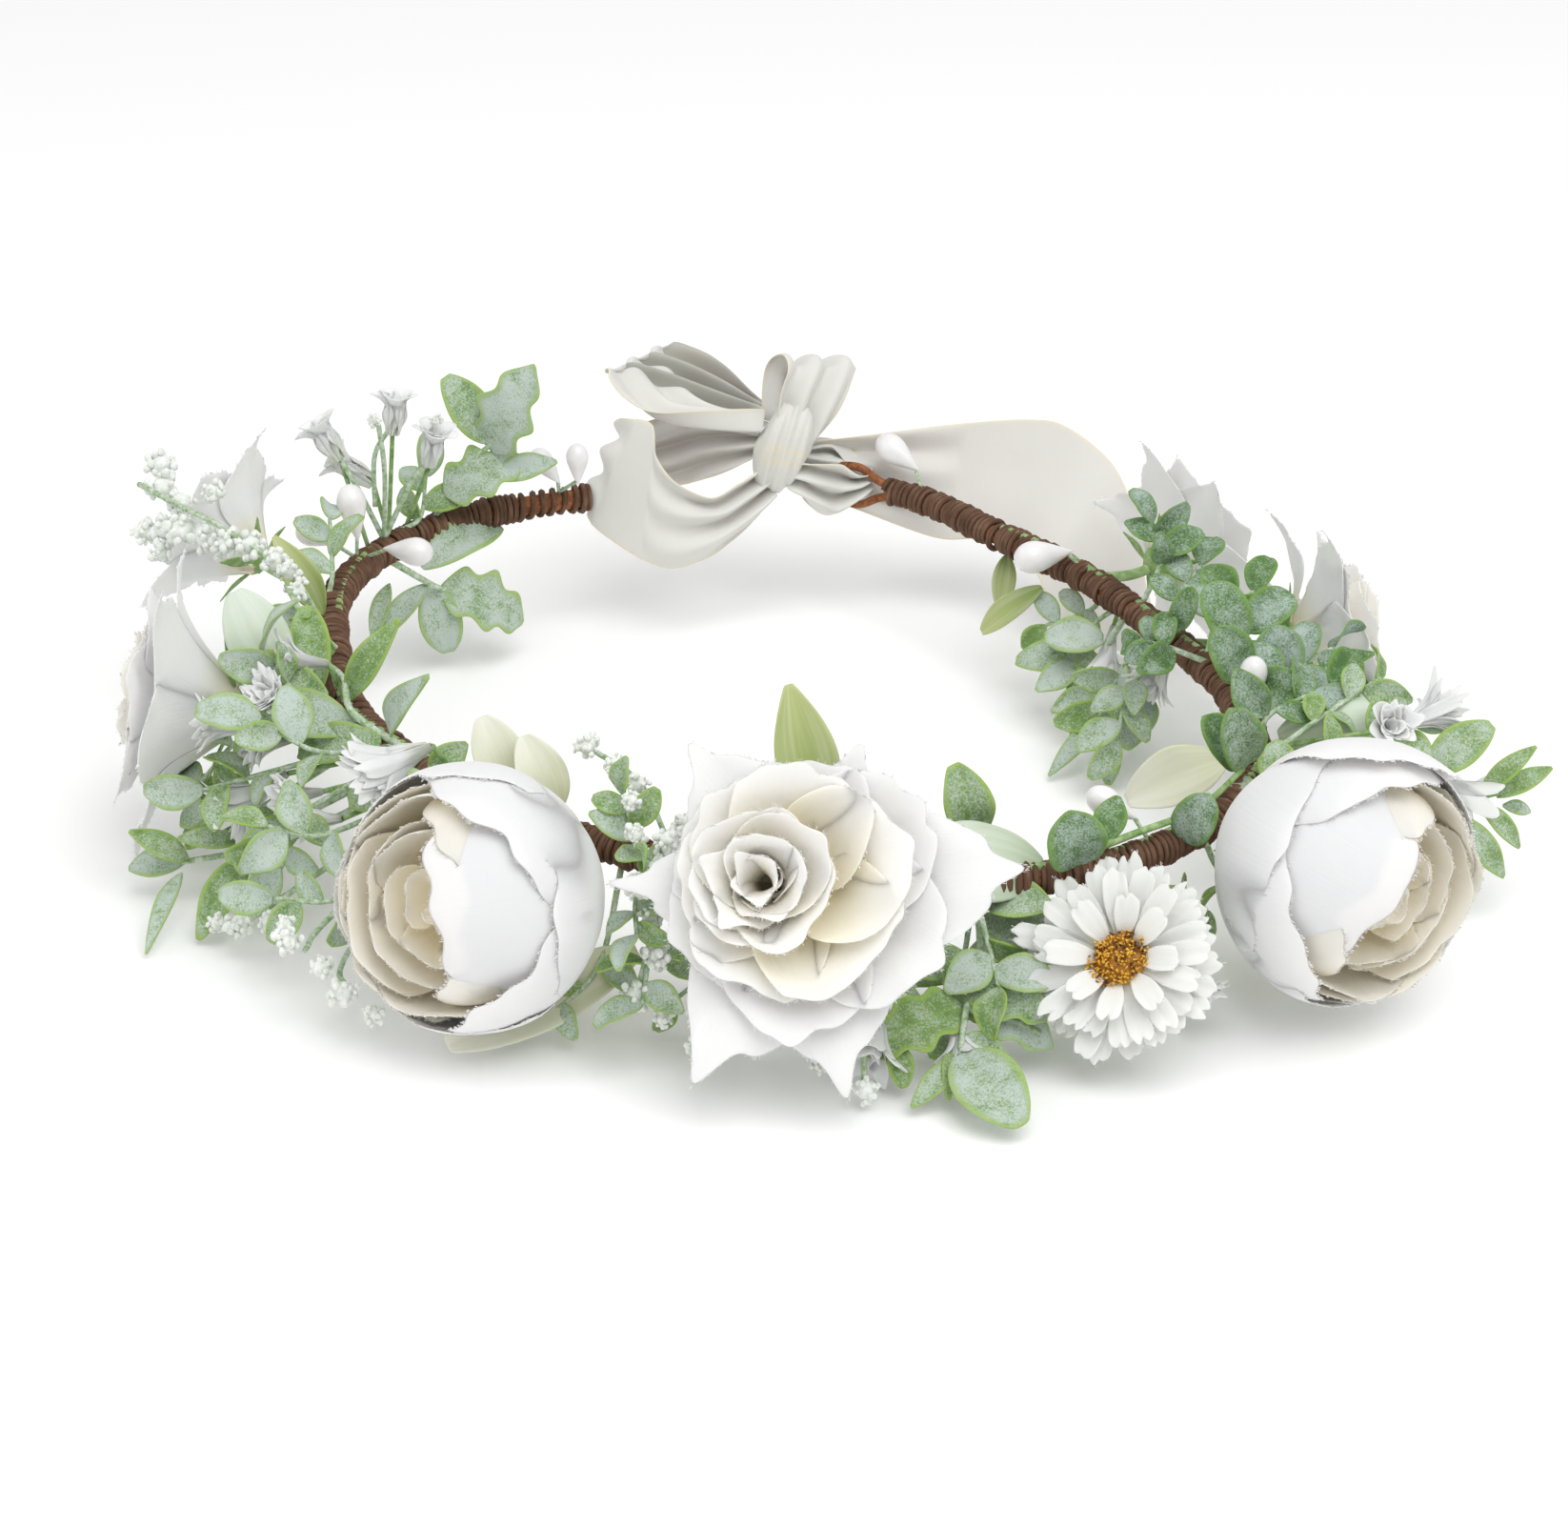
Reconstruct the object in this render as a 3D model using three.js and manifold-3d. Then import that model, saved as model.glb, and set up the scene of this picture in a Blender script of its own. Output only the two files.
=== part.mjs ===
// A flower crown: a hand-bent oval wire ring bound with brown paper twine, open at the back, where a
// ribbon threaded through the ring's two wire eyes ties it in a bow. Fabric blooms on short wire
// stems, leaf sprays, white pips and small filler flowers stand out from the ring all round.
// Millimetres, +Z up, front of the crown towards -Y. The origin is the middle of the head opening,
// on the level that the crown lies on.
import * as THREE from "three";
import { mergeVertices } from "three/addons/utils/BufferGeometryUtils.js";
import Module from "manifold-3d";

const wasm = await Module();
wasm.setup();

// ---------------------------------------------------------------- driving dimensions
const RING_HEIGHT = 28;
const RING_START = 73; // the right end of the ring, in degrees from +X, at the back of the crown
const RING_SWEEP = -320; // round the front to the left end
// The ring is bent by hand: its distance from the Z axis at equal steps from the left end to the
// right end, by way of the front.
const RING_RADII = [91, 95, 91.5, 81.5, 76.5, 72.5, 72, 75, 81.5, 91, 99.5, 99.5, 89.5, 80, 78, 80.5, 91];
const WIRE_RADIUS = 0.8;
const STRAND_OFFSET = 0.9; // the wire is doubled: one strand above the centre line and one below
const EYE = { length: 15, halfHeight: 4.4, rightYaw: 155, leftYaw: 20 }; // the bare wire loop at each end
const TWINE_RADIUS = 3.2;
const TWINE_HOLE = 2.4;
const WRAPS = 7;
const WRAP_GAP_DEG = 0.7;
const CLEAR = 0.35; // gap kept between touching pieces
const RIBBON = { width: 25, thickness: 0.8 };
const LEAF_THICKNESS = 0.9;
const STEM_RADIUS = 0.9;
const ROOT_REACH = TWINE_RADIUS + 1.2; // from the ring's centre line to where a stem starts

// Colours of the materials.
const COLOUR = {
  twine: 0x4a2e22,
  wire: 0x9a5a30,
  whitePetal: 0xf6f3ee,
  creamPetal: 0xf1e8d4,
  calyx: 0x7f9a55,
  stem: 0x6f9a4a,
  frosted: 0x9fb59a,
  round: 0x5f8064,
  sage: 0xb9cba8,
  pip: 0xf7f6f4,
  filler: 0xeef0ea,
  disc: 0xb07a1c,
  ribbon: 0xf0ebdf,
};

// ---------------------------------------------------------------- placing
const rad = THREE.MathUtils.degToRad;

// A point given as [degrees from +X, distance from the Z axis, height].
const at = ([angle, distance, height]) =>
  new THREE.Vector3(distance * Math.cos(rad(angle)), distance * Math.sin(rad(angle)), height);

// A direction given as degrees round from +X and degrees above the horizon.
const facing = ([yaw, pitch]) =>
  new THREE.Vector3(
    Math.cos(rad(yaw)) * Math.cos(rad(pitch)),
    Math.sin(rad(yaw)) * Math.cos(rad(pitch)),
    Math.sin(rad(pitch)),
  );

// Distance from the Z axis to the ring's centre line in the direction angle.
const radii = new THREE.CubicInterpolant(
  RING_RADII.map((_, i) => RING_START + RING_SWEEP - (RING_SWEEP * i) / (RING_RADII.length - 1)),
  RING_RADII,
  1,
);
const ringRadius = (angle) => radii.evaluate(angle > RING_START ? angle - 360 : angle)[0];

const ringPoint = (angle, lift = 0, out = 0) => at([angle, ringRadius(angle) + out, RING_HEIGHT + lift]);

// A stem's root on the twine, given as [degrees from +X, degrees round the twine from its outer side
// over its top].
const onTwine = ([angle, roll]) =>
  ringPoint(angle, ROOT_REACH * Math.sin(rad(roll)), ROOT_REACH * Math.cos(rad(roll)));
const spot = (numbers) => (numbers.length === 2 ? onTwine(numbers) : at(numbers));

// Turns a geometry whose axis is +Y towards a direction and moves it to a point.
function aim(geometry, point, direction) {
  const turn = new THREE.Quaternion().setFromUnitVectors(
    new THREE.Vector3(0, 1, 0),
    direction.clone().normalize(),
  );
  return geometry.applyQuaternion(turn).translate(point.x, point.y, point.z);
}

// ---------------------------------------------------------------- solids
function solid(geometry) {
  const bare = geometry.clone();
  bare.deleteAttribute("normal");
  bare.deleteAttribute("uv");
  const merged = mergeVertices(bare, 1e-4);
  return new wasm.Manifold(
    new wasm.Mesh({
      numProp: 3,
      vertProperties: new Float32Array(merged.attributes.position.array),
      triVerts: new Uint32Array(merged.index.array),
    }),
  );
}

function geometryOf(manifold) {
  const mesh = manifold.getMesh();
  const geometry = new THREE.BufferGeometry();
  const count = mesh.vertProperties.length / mesh.numProp;
  const positions = new Float32Array(count * 3);
  for (let i = 0; i < count; i++) {
    positions.set(mesh.vertProperties.subarray(i * mesh.numProp, i * mesh.numProp + 3), i * 3);
  }
  geometry.setAttribute("position", new THREE.BufferAttribute(positions, 3));
  geometry.setIndex(new THREE.BufferAttribute(mesh.triVerts, 1));
  return geometry;
}

const join = (geometries) => geometryOf(geometries.map(solid).reduce((a, b) => a.add(b)));

// A round outline of straight sides.
function roundShape(radius, sides) {
  const points = [];
  for (let i = 0; i < sides; i++) {
    const angle = (2 * Math.PI * i) / sides;
    points.push(new THREE.Vector2(radius * Math.cos(angle), radius * Math.sin(angle)));
  }
  return points;
}

// A solid round bar along a curve.
function bar(points, radius, steps = 6, sides = 6) {
  const curve = new THREE.CatmullRomCurve3(points);
  const shape = new THREE.Shape(roundShape(radius, sides));
  return new THREE.ExtrudeGeometry(shape, { steps, extrudePath: curve, bevelEnabled: false });
}

// A solid of revolution from [radius, height] pairs that start and end on the axis.
function turned(profile, segments) {
  const points = profile.map(([r, h]) => new THREE.Vector2(r, h));
  return new THREE.LatheGeometry(points, segments);
}

// A flat leaf from base to tip. Its blade turns its face as near to up as the direction lets it.
function leafBlade(base, tip, width, roundness = 0.5) {
  const length = base.distanceTo(tip);
  const shape = new THREE.Shape();
  shape.moveTo(0, -width * 0.12);
  shape.quadraticCurveTo(length * roundness, -width * 0.95, length, -width * 0.04);
  shape.lineTo(length, width * 0.04);
  shape.quadraticCurveTo(length * roundness, width * 0.95, 0, width * 0.12);
  const blade = new THREE.ExtrudeGeometry(shape, {
    depth: LEAF_THICKNESS,
    bevelEnabled: false,
    curveSegments: 3,
  });
  blade.translate(0, 0, -LEAF_THICKNESS / 2);
  const along = tip.clone().sub(base).normalize();
  const across = new THREE.Vector3(0, 0, 1).cross(along);
  if (across.length() < 0.2) across.set(-along.y, along.x, 0).setLength(1);
  across.normalize();
  const face = along.clone().cross(across);
  blade.applyMatrix4(new THREE.Matrix4().makeBasis(along, across, face));
  return blade.translate(base.x, base.y, base.z);
}

// A strip of ribbon: stations of [centre, width direction, width where it is gathered].
function strip(stations, thickness = RIBBON.thickness) {
  const positions = [];
  const index = [];
  stations.forEach(([centre, across, width = RIBBON.width], i) => {
    const before = stations[Math.max(i - 1, 0)][0];
    const after = stations[Math.min(i + 1, stations.length - 1)][0];
    const along = after.clone().sub(before).normalize();
    const side = across.clone().addScaledVector(along, -across.dot(along)).normalize();
    const normal = along.clone().cross(side);
    for (const [s, n] of [[-1, -1], [1, -1], [1, 1], [-1, 1]]) {
      const corner = centre.clone();
      corner.addScaledVector(side, (s * width) / 2).addScaledVector(normal, (n * thickness) / 2);
      positions.push(corner.x, corner.y, corner.z);
    }
    if (i === 0) return;
    for (let k = 0; k < 4; k++) {
      const [a, b] = [4 * (i - 1) + k, 4 * (i - 1) + ((k + 1) % 4)];
      index.push(a, b, b + 4, a, b + 4, a + 4);
    }
  });
  const last = 4 * (stations.length - 1);
  index.push(0, 2, 1, 0, 3, 2, last, last + 1, last + 2, last, last + 2, last + 3);
  const geometry = new THREE.BufferGeometry();
  geometry.setAttribute("position", new THREE.Float32BufferAttribute(positions, 3));
  geometry.setIndex(index);
  return geometry;
}

// ---------------------------------------------------------------- the assembly
const crown = new THREE.Group();

function piece(name, geometry, colour, roughness = 0.75) {
  const material = new THREE.MeshStandardMaterial({ color: colour, roughness, metalness: 0 });
  const mesh = new THREE.Mesh(geometry, material);
  mesh.name = name;
  crown.add(mesh);
  return mesh;
}

// ---------------------------------------------------------------- ring: wire and twine
// One wire runs round the ring twice, above and below the centre line, and opens into an eye at each
// end, where the ribbon goes through.
function ringStrand(lift) {
  const points = [];
  const stations = 22;
  for (let i = 0; i <= stations; i++) {
    points.push(ringPoint(RING_START + (RING_SWEEP * i) / stations, lift));
  }
  return bar(points, WIRE_RADIUS, 40);
}

// The eye at one end: from the lower strand out, round and back to the upper strand.
function wireEye(angle, yaw) {
  const end = ringPoint(angle);
  const along = facing([yaw, 0]);
  const height = EYE.halfHeight;
  const outline = [
    [-2, -STRAND_OFFSET],
    [1.5, -STRAND_OFFSET - 0.8],
    [EYE.length * 0.45, -height],
    [EYE.length * 0.85, -height * 0.7],
    [EYE.length, 0],
    [EYE.length * 0.85, height * 0.7],
    [EYE.length * 0.45, height],
    [1.5, STRAND_OFFSET + 0.8],
    [-2, STRAND_OFFSET],
  ];
  const points = outline.map(([out, lift]) => {
    const point = end.clone().addScaledVector(along, out);
    point.z += lift;
    return point;
  });
  return bar(points, WIRE_RADIUS + 0.12, 16);
}

piece(
  "frame_wire",
  join([
    ringStrand(STRAND_OFFSET),
    ringStrand(-STRAND_OFFSET),
    wireEye(RING_START, EYE.rightYaw),
    wireEye(RING_START + RING_SWEEP, EYE.leftYaw),
  ]),
  COLOUR.wire,
);

// Twine sleeves, counted from the right end of the ring round the front to the left end.
const wrapSweep = RING_SWEEP / WRAPS;
for (let i = 0; i < WRAPS; i++) {
  const start = RING_START + wrapSweep * i;
  const points = [];
  for (let k = 0; k <= 6; k++) {
    const inner = wrapSweep + 2 * WRAP_GAP_DEG;
    points.push(ringPoint(start - WRAP_GAP_DEG + (inner * k) / 6));
  }
  const shape = new THREE.Shape(roundShape(TWINE_RADIUS, 10));
  shape.holes.push(new THREE.Path(roundShape(TWINE_HOLE, 8)));
  const path = new THREE.CatmullRomCurve3(points);
  const sleeve = new THREE.ExtrudeGeometry(shape, {
    steps: 6,
    extrudePath: path,
    bevelEnabled: false,
  });
  piece(`twine_wrap_${i + 1}`, sleeve, COLOUR.twine, 0.85);
}

// ---------------------------------------------------------------- blooms
// Each bloom is a head on a bendable wire stem: outer petals, an inner bud, and a stem that ends in
// a calyx cup. A profile's heights run along the way the bloom faces, from its middle, and both
// numbers are shares of its radius.
const ROSE = {
  outer: [[0, -0.36], [0.3, -0.36], [0.66, -0.2], [1, 0.1], [0.9, 0.16], [0.58, -0.04], [0, -0.24]],
  inner: [[0, -0.22], [0.5, -0.03], [0.56, 0.22], [0.4, 0.42], [0, 0.46]],
  back: -0.36,
};
const RANUNCULUS = {
  outer: [[0, -0.84], [0.42, -0.78], [0.84, -0.42], [0.96, 0.06], [0.8, 0.5], [0.72, 0.48], [0.72, -0.36], [0, -0.6]],
  inner: [[0, -0.58], [0.7, -0.33], [0.7, 0.44], [0.4, 0.6], [0, 0.56]],
  back: -0.84,
};
const PETAL_SIDES = 10;
const CALYX_HEIGHT = 3.2;

const calyxCup = (radius) =>
  turned([[0, 0], [radius * 0.5, 0], [radius, CALYX_HEIGHT * 0.8], [radius * 0.7, CALYX_HEIGHT], [0, CALYX_HEIGHT]], 8);

// A wire stem from the twine to the back of a head, with its calyx and any sepals.
function bloomStem(spec, back, direction) {
  const root = onTwine(spec.root);
  const inside = back.clone().addScaledVector(direction, 1);
  const parts = [aim(calyxCup(spec.calyx), back, direction), bar([root, inside], 1.1, 2, 6)];
  for (const [tip, width] of spec.sepals ?? []) {
    parts.push(leafBlade(back.clone().addScaledVector(direction, 0.2), at(tip), width, 0.45));
  }
  return join(parts);
}

function bloom(spec) {
  const centre = at(spec.centre);
  const direction = facing(spec.facing);
  const head = (profile) =>
    aim(turned(profile.map(([r, h]) => [r * spec.radius, h * spec.radius]), PETAL_SIDES), centre, direction);
  const back = centre.clone();
  back.addScaledVector(direction, spec.form.back * spec.radius - CLEAR - CALYX_HEIGHT);
  piece(`${spec.name}_outer_petals`, head(spec.form.outer), COLOUR.whitePetal);
  piece(`${spec.name}_inner_petals`, head(spec.form.inner), COLOUR.creamPetal);
  piece(`${spec.name}_stem`, bloomStem(spec, back, direction), COLOUR.calyx);
}

const BLOOMS = [
  {
    name: "rose_front", form: ROSE, radius: 29, centre: [-85, 102, 36], facing: [-100, 34],
    root: [-85, 0], calyx: 6, sepals: [[[-84, 76, 57], 8]],
  },
  {
    name: "ranunculus_left", form: RANUNCULUS, radius: 23, centre: [-118, 104, 29], facing: [-118, 10],
    root: [-118, 0], calyx: 5,
  },
  {
    name: "ranunculus_right", form: RANUNCULUS, radius: 23, centre: [-38.5, 131, 29], facing: [-58, 10],
    root: [-36, 0], calyx: 5,
  },
  {
    name: "rose_left", form: ROSE, radius: 25, centre: [-171, 110, 29], facing: [176, 6],
    root: [-171, 0], calyx: 6,
  },
  {
    name: "rose_back_left", form: ROSE, radius: 18, centre: [158, 115, 37], facing: [150, 22],
    root: [157, 12], calyx: 4.5,
  },
  {
    name: "rose_back_right", form: ROSE, radius: 19, centre: [33, 103, 29], facing: [38, 10],
    root: [33, 0], calyx: 4.5,
  },
  {
    name: "rose_right", form: ROSE, radius: 20, centre: [10, 113, 28], facing: [12, 10],
    root: [9, 0], calyx: 4.5,
  },
];
BLOOMS.forEach(bloom);

// The daisy: a shallow dish of petals and a domed disc.
const DAISY = { centre: [-57.5, 115, 21], facing: [-108, 34], radius: 15.5, root: [-57, -12], calyx: 3 };
{
  const centre = at(DAISY.centre);
  const direction = facing(DAISY.facing);
  const rim = DAISY.radius;
  const dish = turned([[0, -3], [4, -3], [rim, 1.4], [rim, 2.4], [5.6, -0.6], [0, -0.6]], 12);
  piece("daisy_petals", aim(dish, centre, direction), COLOUR.whitePetal);
  const disc = turned([[0, -0.3], [5, -0.3], [5, 1], [3, 2.2], [0, 2.6]], 10);
  piece("daisy_disc", aim(disc, centre, direction), COLOUR.disc);
  const back = centre.clone().addScaledVector(direction, -3 - CLEAR - CALYX_HEIGHT);
  piece("daisy_stem", bloomStem(DAISY, back, direction), COLOUR.calyx);
}

// ---------------------------------------------------------------- leaf sprays
// A spray is moulded in one piece: a stem and its leaves. A leaf is [share of the way along the stem,
// tip, width, roundness].
const SPRAYS = [
  {
    name: "leaf_spray_front", colour: COLOUR.frosted,
    stem: [[-66, -40], [-67, 100, 17], [-70, 106, 12], [-72, 112, 7]],
    leaves: [[0.98, [-70, 131, 0.5], 12, 0.6], [0.62, [-80, 105, 5], 9, 0.6], [0.3, [-74, 92, 14], 7], [0.12, [-56, 97, 15], 10, 0.6], [0.45, [-63, 111, 10], 7], [0.92, [-77, 117, 2], 4]],
  },
  {
    name: "leaf_spray_lower_left", colour: COLOUR.frosted,
    stem: [[-147, -50], [-152, 92, 15], [-157, 104, 12], [-160, 112, 8]],
    leaves: [[0.5, [-152, 107, 10], 8, 0.6], [0.66, [-151, 115, 1], 7], [0.95, [-161, 121, 14], 4], [0.98, [-163, 121, 5], 6], [0.98, [-151, 125, 0.6], 3]],
  },
  {
    name: "leaf_spray_left", colour: COLOUR.frosted,
    stem: [[-148, 80], [-154, 81, 37], [-160, 80, 40], [-166, 80, 40]],
    leaves: [[0.3, [-163, 95, 34], 10, 0.6], [0.5, [-157, 70, 52], 6], [0.02, [-137, 79, 54], 5], [0.9, [-171, 92, 52], 12, 0.4]],
  },
  {
    name: "leaf_spray_back_left_upper", colour: COLOUR.frosted,
    stem: [[134, 90], [130, 93, 40], [127, 90, 45]],
    leaves: [[0.3, [122, 87, 42], 11, 0.6], [0.95, [131, 99, 58], 8, 0.6], [0.95, [122, 85, 62], 11, 0.65]],
  },
  {
    name: "leaf_spray_back_left_lower", colour: COLOUR.frosted,
    stem: [[143, -120], [139, 88, 20], [136, 88, 18]],
    leaves: [[0.9, [125, 88, 23], 8, 0.6], [0.6, [126, 82, 6], 11, 0.65], [0.5, [137, 86, 3], 8, 0.6], [0.1, [147, 92, 10], 4]],
  },
  {
    name: "leaf_spray_inside_right", colour: COLOUR.frosted,
    stem: [[22, -120], [25, 74, 15], [19, 71, 10], [13, 69, 4]],
    leaves: [[0.3, [37, 64, 12], 7], [0.1, [31, 64, 20], 8], [0.75, [9, 57, 1], 4], [0.97, [5, 68, 0.6], 4], [0.5, [10, 78, 7], 6], [0.6, [26, 63, 7], 4]],
  },
  {
    name: "leaf_spray_right", colour: COLOUR.frosted,
    stem: [[-22, -20], [-20, 111, 24], [-18.5, 123, 24], [-17.5, 132, 22]],
    leaves: [[0.98, [-15, 146, 31], 3.5], [0.98, [-13.5, 149, 25], 3.5], [0.85, [-18, 143, 8], 5], [0.98, [-17.5, 145, 13], 4], [0.5, [-17, 133, 36], 6, 0.6], [0.4, [-20, 134, 12], 8, 0.7]],
  },
  {
    name: "round_leaf_sprig_right", colour: COLOUR.round,
    stem: [[-9, 80], [-6, 93, 35], [-2, 91, 37]],
    leaves: [[0.2, [-11, 85, 47], 9, 0.5], [0.7, [-1, 85, 48], 9, 0.5], [0.95, [3, 101, 43], 7, 0.55], [0.95, [6, 83, 42], 4], [0.4, [-3, 109, 42], 11, 0.5], [0.6, [-1, 116, 36], 4]],
  },
  {
    name: "round_leaf_sprig_front_right", colour: COLOUR.round,
    stem: [[-58, 80], [-49, 99, 34], [-40, 101, 34], [-30, 100, 34]],
    leaves: [[0.98, [-33, 97, 47], 8, 0.5], [0.9, [-33, 91, 42], 7, 0.5], [0.6, [-43, 106, 39], 7, 0.55], [0.9, [-29, 77, 24], 10, 0.5], [0.02, [-59, 100, 44], 9, 0.5], [0.05, [-71, 84, 38], 12, 0.5]],
  },
];

function spray(spec) {
  const points = spec.stem.map(spot);
  const curve = new THREE.CatmullRomCurve3(points);
  const parts = [bar(points, STEM_RADIUS, 2 * (points.length - 1), 5)];
  for (const [share, tip, width, roundness] of spec.leaves) {
    parts.push(leafBlade(curve.getPoint(share), at(tip), width, roundness));
  }
  piece(spec.name, join(parts), spec.colour);
}
SPRAYS.forEach(spray);

// ---------------------------------------------------------------- pips
// Glossy drops on fine wires. Two that share a wire are one piece.
function pip(base, tip) {
  const length = base.distanceTo(tip);
  const drop = turned([[0, 0], [0.7, 0.6], [length * 0.22, length * 0.35], [length * 0.3, length * 0.68], [length * 0.18, length * 0.95], [0, length]], 8);
  return aim(drop, base, tip.clone().sub(base));
}

const PIPS = [
  { name: "pip_pair_left", root: [149, 70], drops: [[[150, 98, 34], [153, 103, 37]], [[149, 97, 35], [148, 97, 46]]] },
  { name: "pip_left_inner", root: [148, 110], drops: [[[148, 87, 33], [147, 77, 34]]] },
  { name: "pip_pair_back_left", root: [117, 100], drops: [[[118, 86, 34], [120, 93, 40]], [[116, 84, 34], [116, 85, 43]]] },
  { name: "pip_back_right", root: [35, 100], drops: [[[36, 76, 33.5], [39, 65, 33]]] },
  { name: "pip_right", root: [-15, 80], drops: [[[-15, 95, 35], [-15, 95, 44]]] },
  { name: "pip_front_right", root: [-46, 125], drops: [[[-46, 94, 34], [-49, 87, 38]]] },
  { name: "pip_back", root: [68, 80], drops: [[[69, 93, 34], [75, 95, 38]]] },
];
for (const { name, root, drops } of PIPS) {
  const wires = drops.map(([base, tip]) => bar([onTwine(root), at(base).lerp(at(tip), 0.2)], 0.6, 2, 5));
  piece(name, join([...wires, ...drops.map(([base, tip]) => pip(at(base), at(tip)))]), COLOUR.pip, 0.2);
}

// ---------------------------------------------------------------- filler flowers
// Stems that end in clumps of tiny white flowers. A clump is a rough ball of the given radius.
const FILLERS = [
  {
    name: "gypsophila_back_left",
    stems: [[[173, 60], [178, 87, 46], [174, 101, 53], [170, 112, 54], [166, 123, 54]]],
    clumps: [[[178, 87, 46], 3], [[174, 101, 53], 4], [[170, 112, 54], 4.5], [[165, 122, 54], 4.5]],
  },
  {
    name: "bell_sprig_back_left", stems: [[[143, 80], [146, 97, 44], [146, 103, 57]], [[143, 80], [144, 96, 62]], [[143, 80], [138, 90, 58]]],
    clumps: [[[146, 103, 57], 5], [[144, 96, 62], 4], [[138, 90, 58], 4]],
  },
  {
    name: "gypsophila_front_left", stems: [[[-101, 100], [-106, 72, 40], [-113, 73, 47]], [[-101, 100], [-96, 72, 38]]],
    clumps: [[[-113, 73, 47], 3.5], [[-106, 71, 41], 3], [[-96, 72, 38], 3]],
  },
  {
    name: "gypsophila_front_low",
    stems: [[[-101, -80], [-102, 84, 12], [-101, 86, 5]]],
    clumps: [[[-102, 84, 11], 3.5], [[-101, 86, 5], 4]],
    leaf: [[-103, 85, 10], [-118, 115, 1], 9],
  },
  {
    name: "gypsophila_lower_left", stems: [[[-138, -60], [-142, 96, 9], [-144, 106, 6]], [[-142, 96, 9], [-140, 107, 3.5]]],
    clumps: [[[-144, 107, 7], 3.5], [[-140, 108, 3.6], 3.5]],
  },
];
for (const { name, stems, clumps, leaf } of FILLERS) {
  const bars = stems.map((points) => bar(points.map(spot), 0.7, 2 * (points.length - 1), 5));
  const balls = clumps.map(([centre, radius]) => {
    const ball = new THREE.IcosahedronGeometry(radius, 0);
    const middle = at(centre);
    return ball.translate(middle.x, middle.y, middle.z);
  });
  const blades = leaf ? [leafBlade(at(leaf[0]), at(leaf[1]), leaf[2])] : [];
  piece(name, join([...bars, ...balls, ...blades]), COLOUR.filler);
}

// Trumpet flowers: a fluted cone whose mouth faces along the stem.
const TRUMPETS = [
  { name: "trumpet_flower_left", root: [-136, 60], base: [-136, 82, 40], mouth: [-141, 92, 37], radius: 8 },
  { name: "fringe_flower_left", root: [-158, 20], base: [-158, 92, 31], mouth: [-158, 100, 31], radius: 6.5 },
  { name: "fringe_flower_low_right", root: [-50, -60], base: [-49, 112, 13], mouth: [-48, 117, 7], radius: 6 },
];
for (const { name, root, base, mouth, radius } of TRUMPETS) {
  const [foot, end] = [at(base), at(mouth)];
  const length = foot.distanceTo(end);
  const cone = turned([[0, 0], [1.2, 0], [radius * 0.45, length * 0.6], [radius, length], [radius * 0.6, length * 0.95], [0, length * 0.7]], 8);
  const stem = bar([onTwine(root), foot.clone().lerp(end, 0.08)], 0.7, 2, 5);
  piece(name, join([aim(cone, foot, end.clone().sub(foot)), stem]), COLOUR.filler);
}

// ---------------------------------------------------------------- ribbon
// One ribbon is tied in a bow between the two eyes of the ring. It is made in four pieces that stop
// short of the knot: the bow itself, the gathered loop through the left eye, the gathered hitch
// through the right eye, and the tail that runs on behind the right end and falls to the table.
const v = (x, y, z) => new THREE.Vector3(x, y, z);
const KNOT = { middle: v(5, 88, 36), size: v(8.5, 6.5, 11) };
// The bow's two upper loops, each as the half that rises from the knot and the half that comes back.
const BOW_HALVES = [
  [
    [v(2, 90, 42), v(0.5, 0.5, 0.6), 8],
    [v(-12, 95, 51), v(0.5, 0.5, 0.7), 14],
    [v(-29, 97, 57), v(0.55, 0.5, 0.65), 16],
  ],
  [
    [v(2, 89, 40), v(0.5, 0.5, 0.6), 8],
    [v(-17, 92, 48.5), v(0.55, 0.5, 0.65), 14],
    [v(-28.5, 96, 56.5), v(0.58, 0.5, 0.62), 15],
  ],
  [
    [v(6, 90, 38), v(1, 0.1, -0.2), 9],
    [v(8, 97, 49), v(1, 0.1, -0.1), 16],
    [v(11, 99, 57), v(1, 0.1, 0), 19],
  ],
  [
    [v(7, 88.5, 38), v(1, 0.1, -0.2), 9],
    [v(9, 92, 50), v(1, 0.1, -0.1), 16],
    [v(11, 99, 56.6), v(1, 0.1, 0), 18],
  ],
];
const EYE_LOOP = [
  [v(-6, 86.5, 37), v(0, -0.3, 1), 7],
  [v(-14, 88, 37.5), v(0, -0.2, 1), 8],
  [v(-23, 91, 38), v(0, -0.1, 1), 7],
  [v(-29, 92, 34), v(0, 0, 1), 6],
  [v(-30, 90, 29), v(0, 0, 1), 4],
  [v(-28.5, 84, 28), v(0, 0, 1), 4],
  [v(-31, 79, 27), v(0, 0, 1), 12],
  [v(-27, 75, 24), v(0, 0.2, 1), 20],
  [v(-17, 76, 22), v(0, 0.3, 1), 18],
  [v(-9, 79, 25), v(0, 0.3, 1), 13],
  [v(-4.5, 82, 30), v(0, 0.2, 1), 9],
];
const EYE_HITCH = [
  [v(12.8, 83, 32), v(0, 0, 1), 10],
  [v(16, 84, 30), v(0, 0, 1), 8],
  [v(19, 88, 28), v(0, 0, 1), 4],
  [v(20.8, 92, 28), v(0, 0, 1), 4],
  [v(20, 95, 28), v(0, 0, 1), 6],
];
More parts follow.
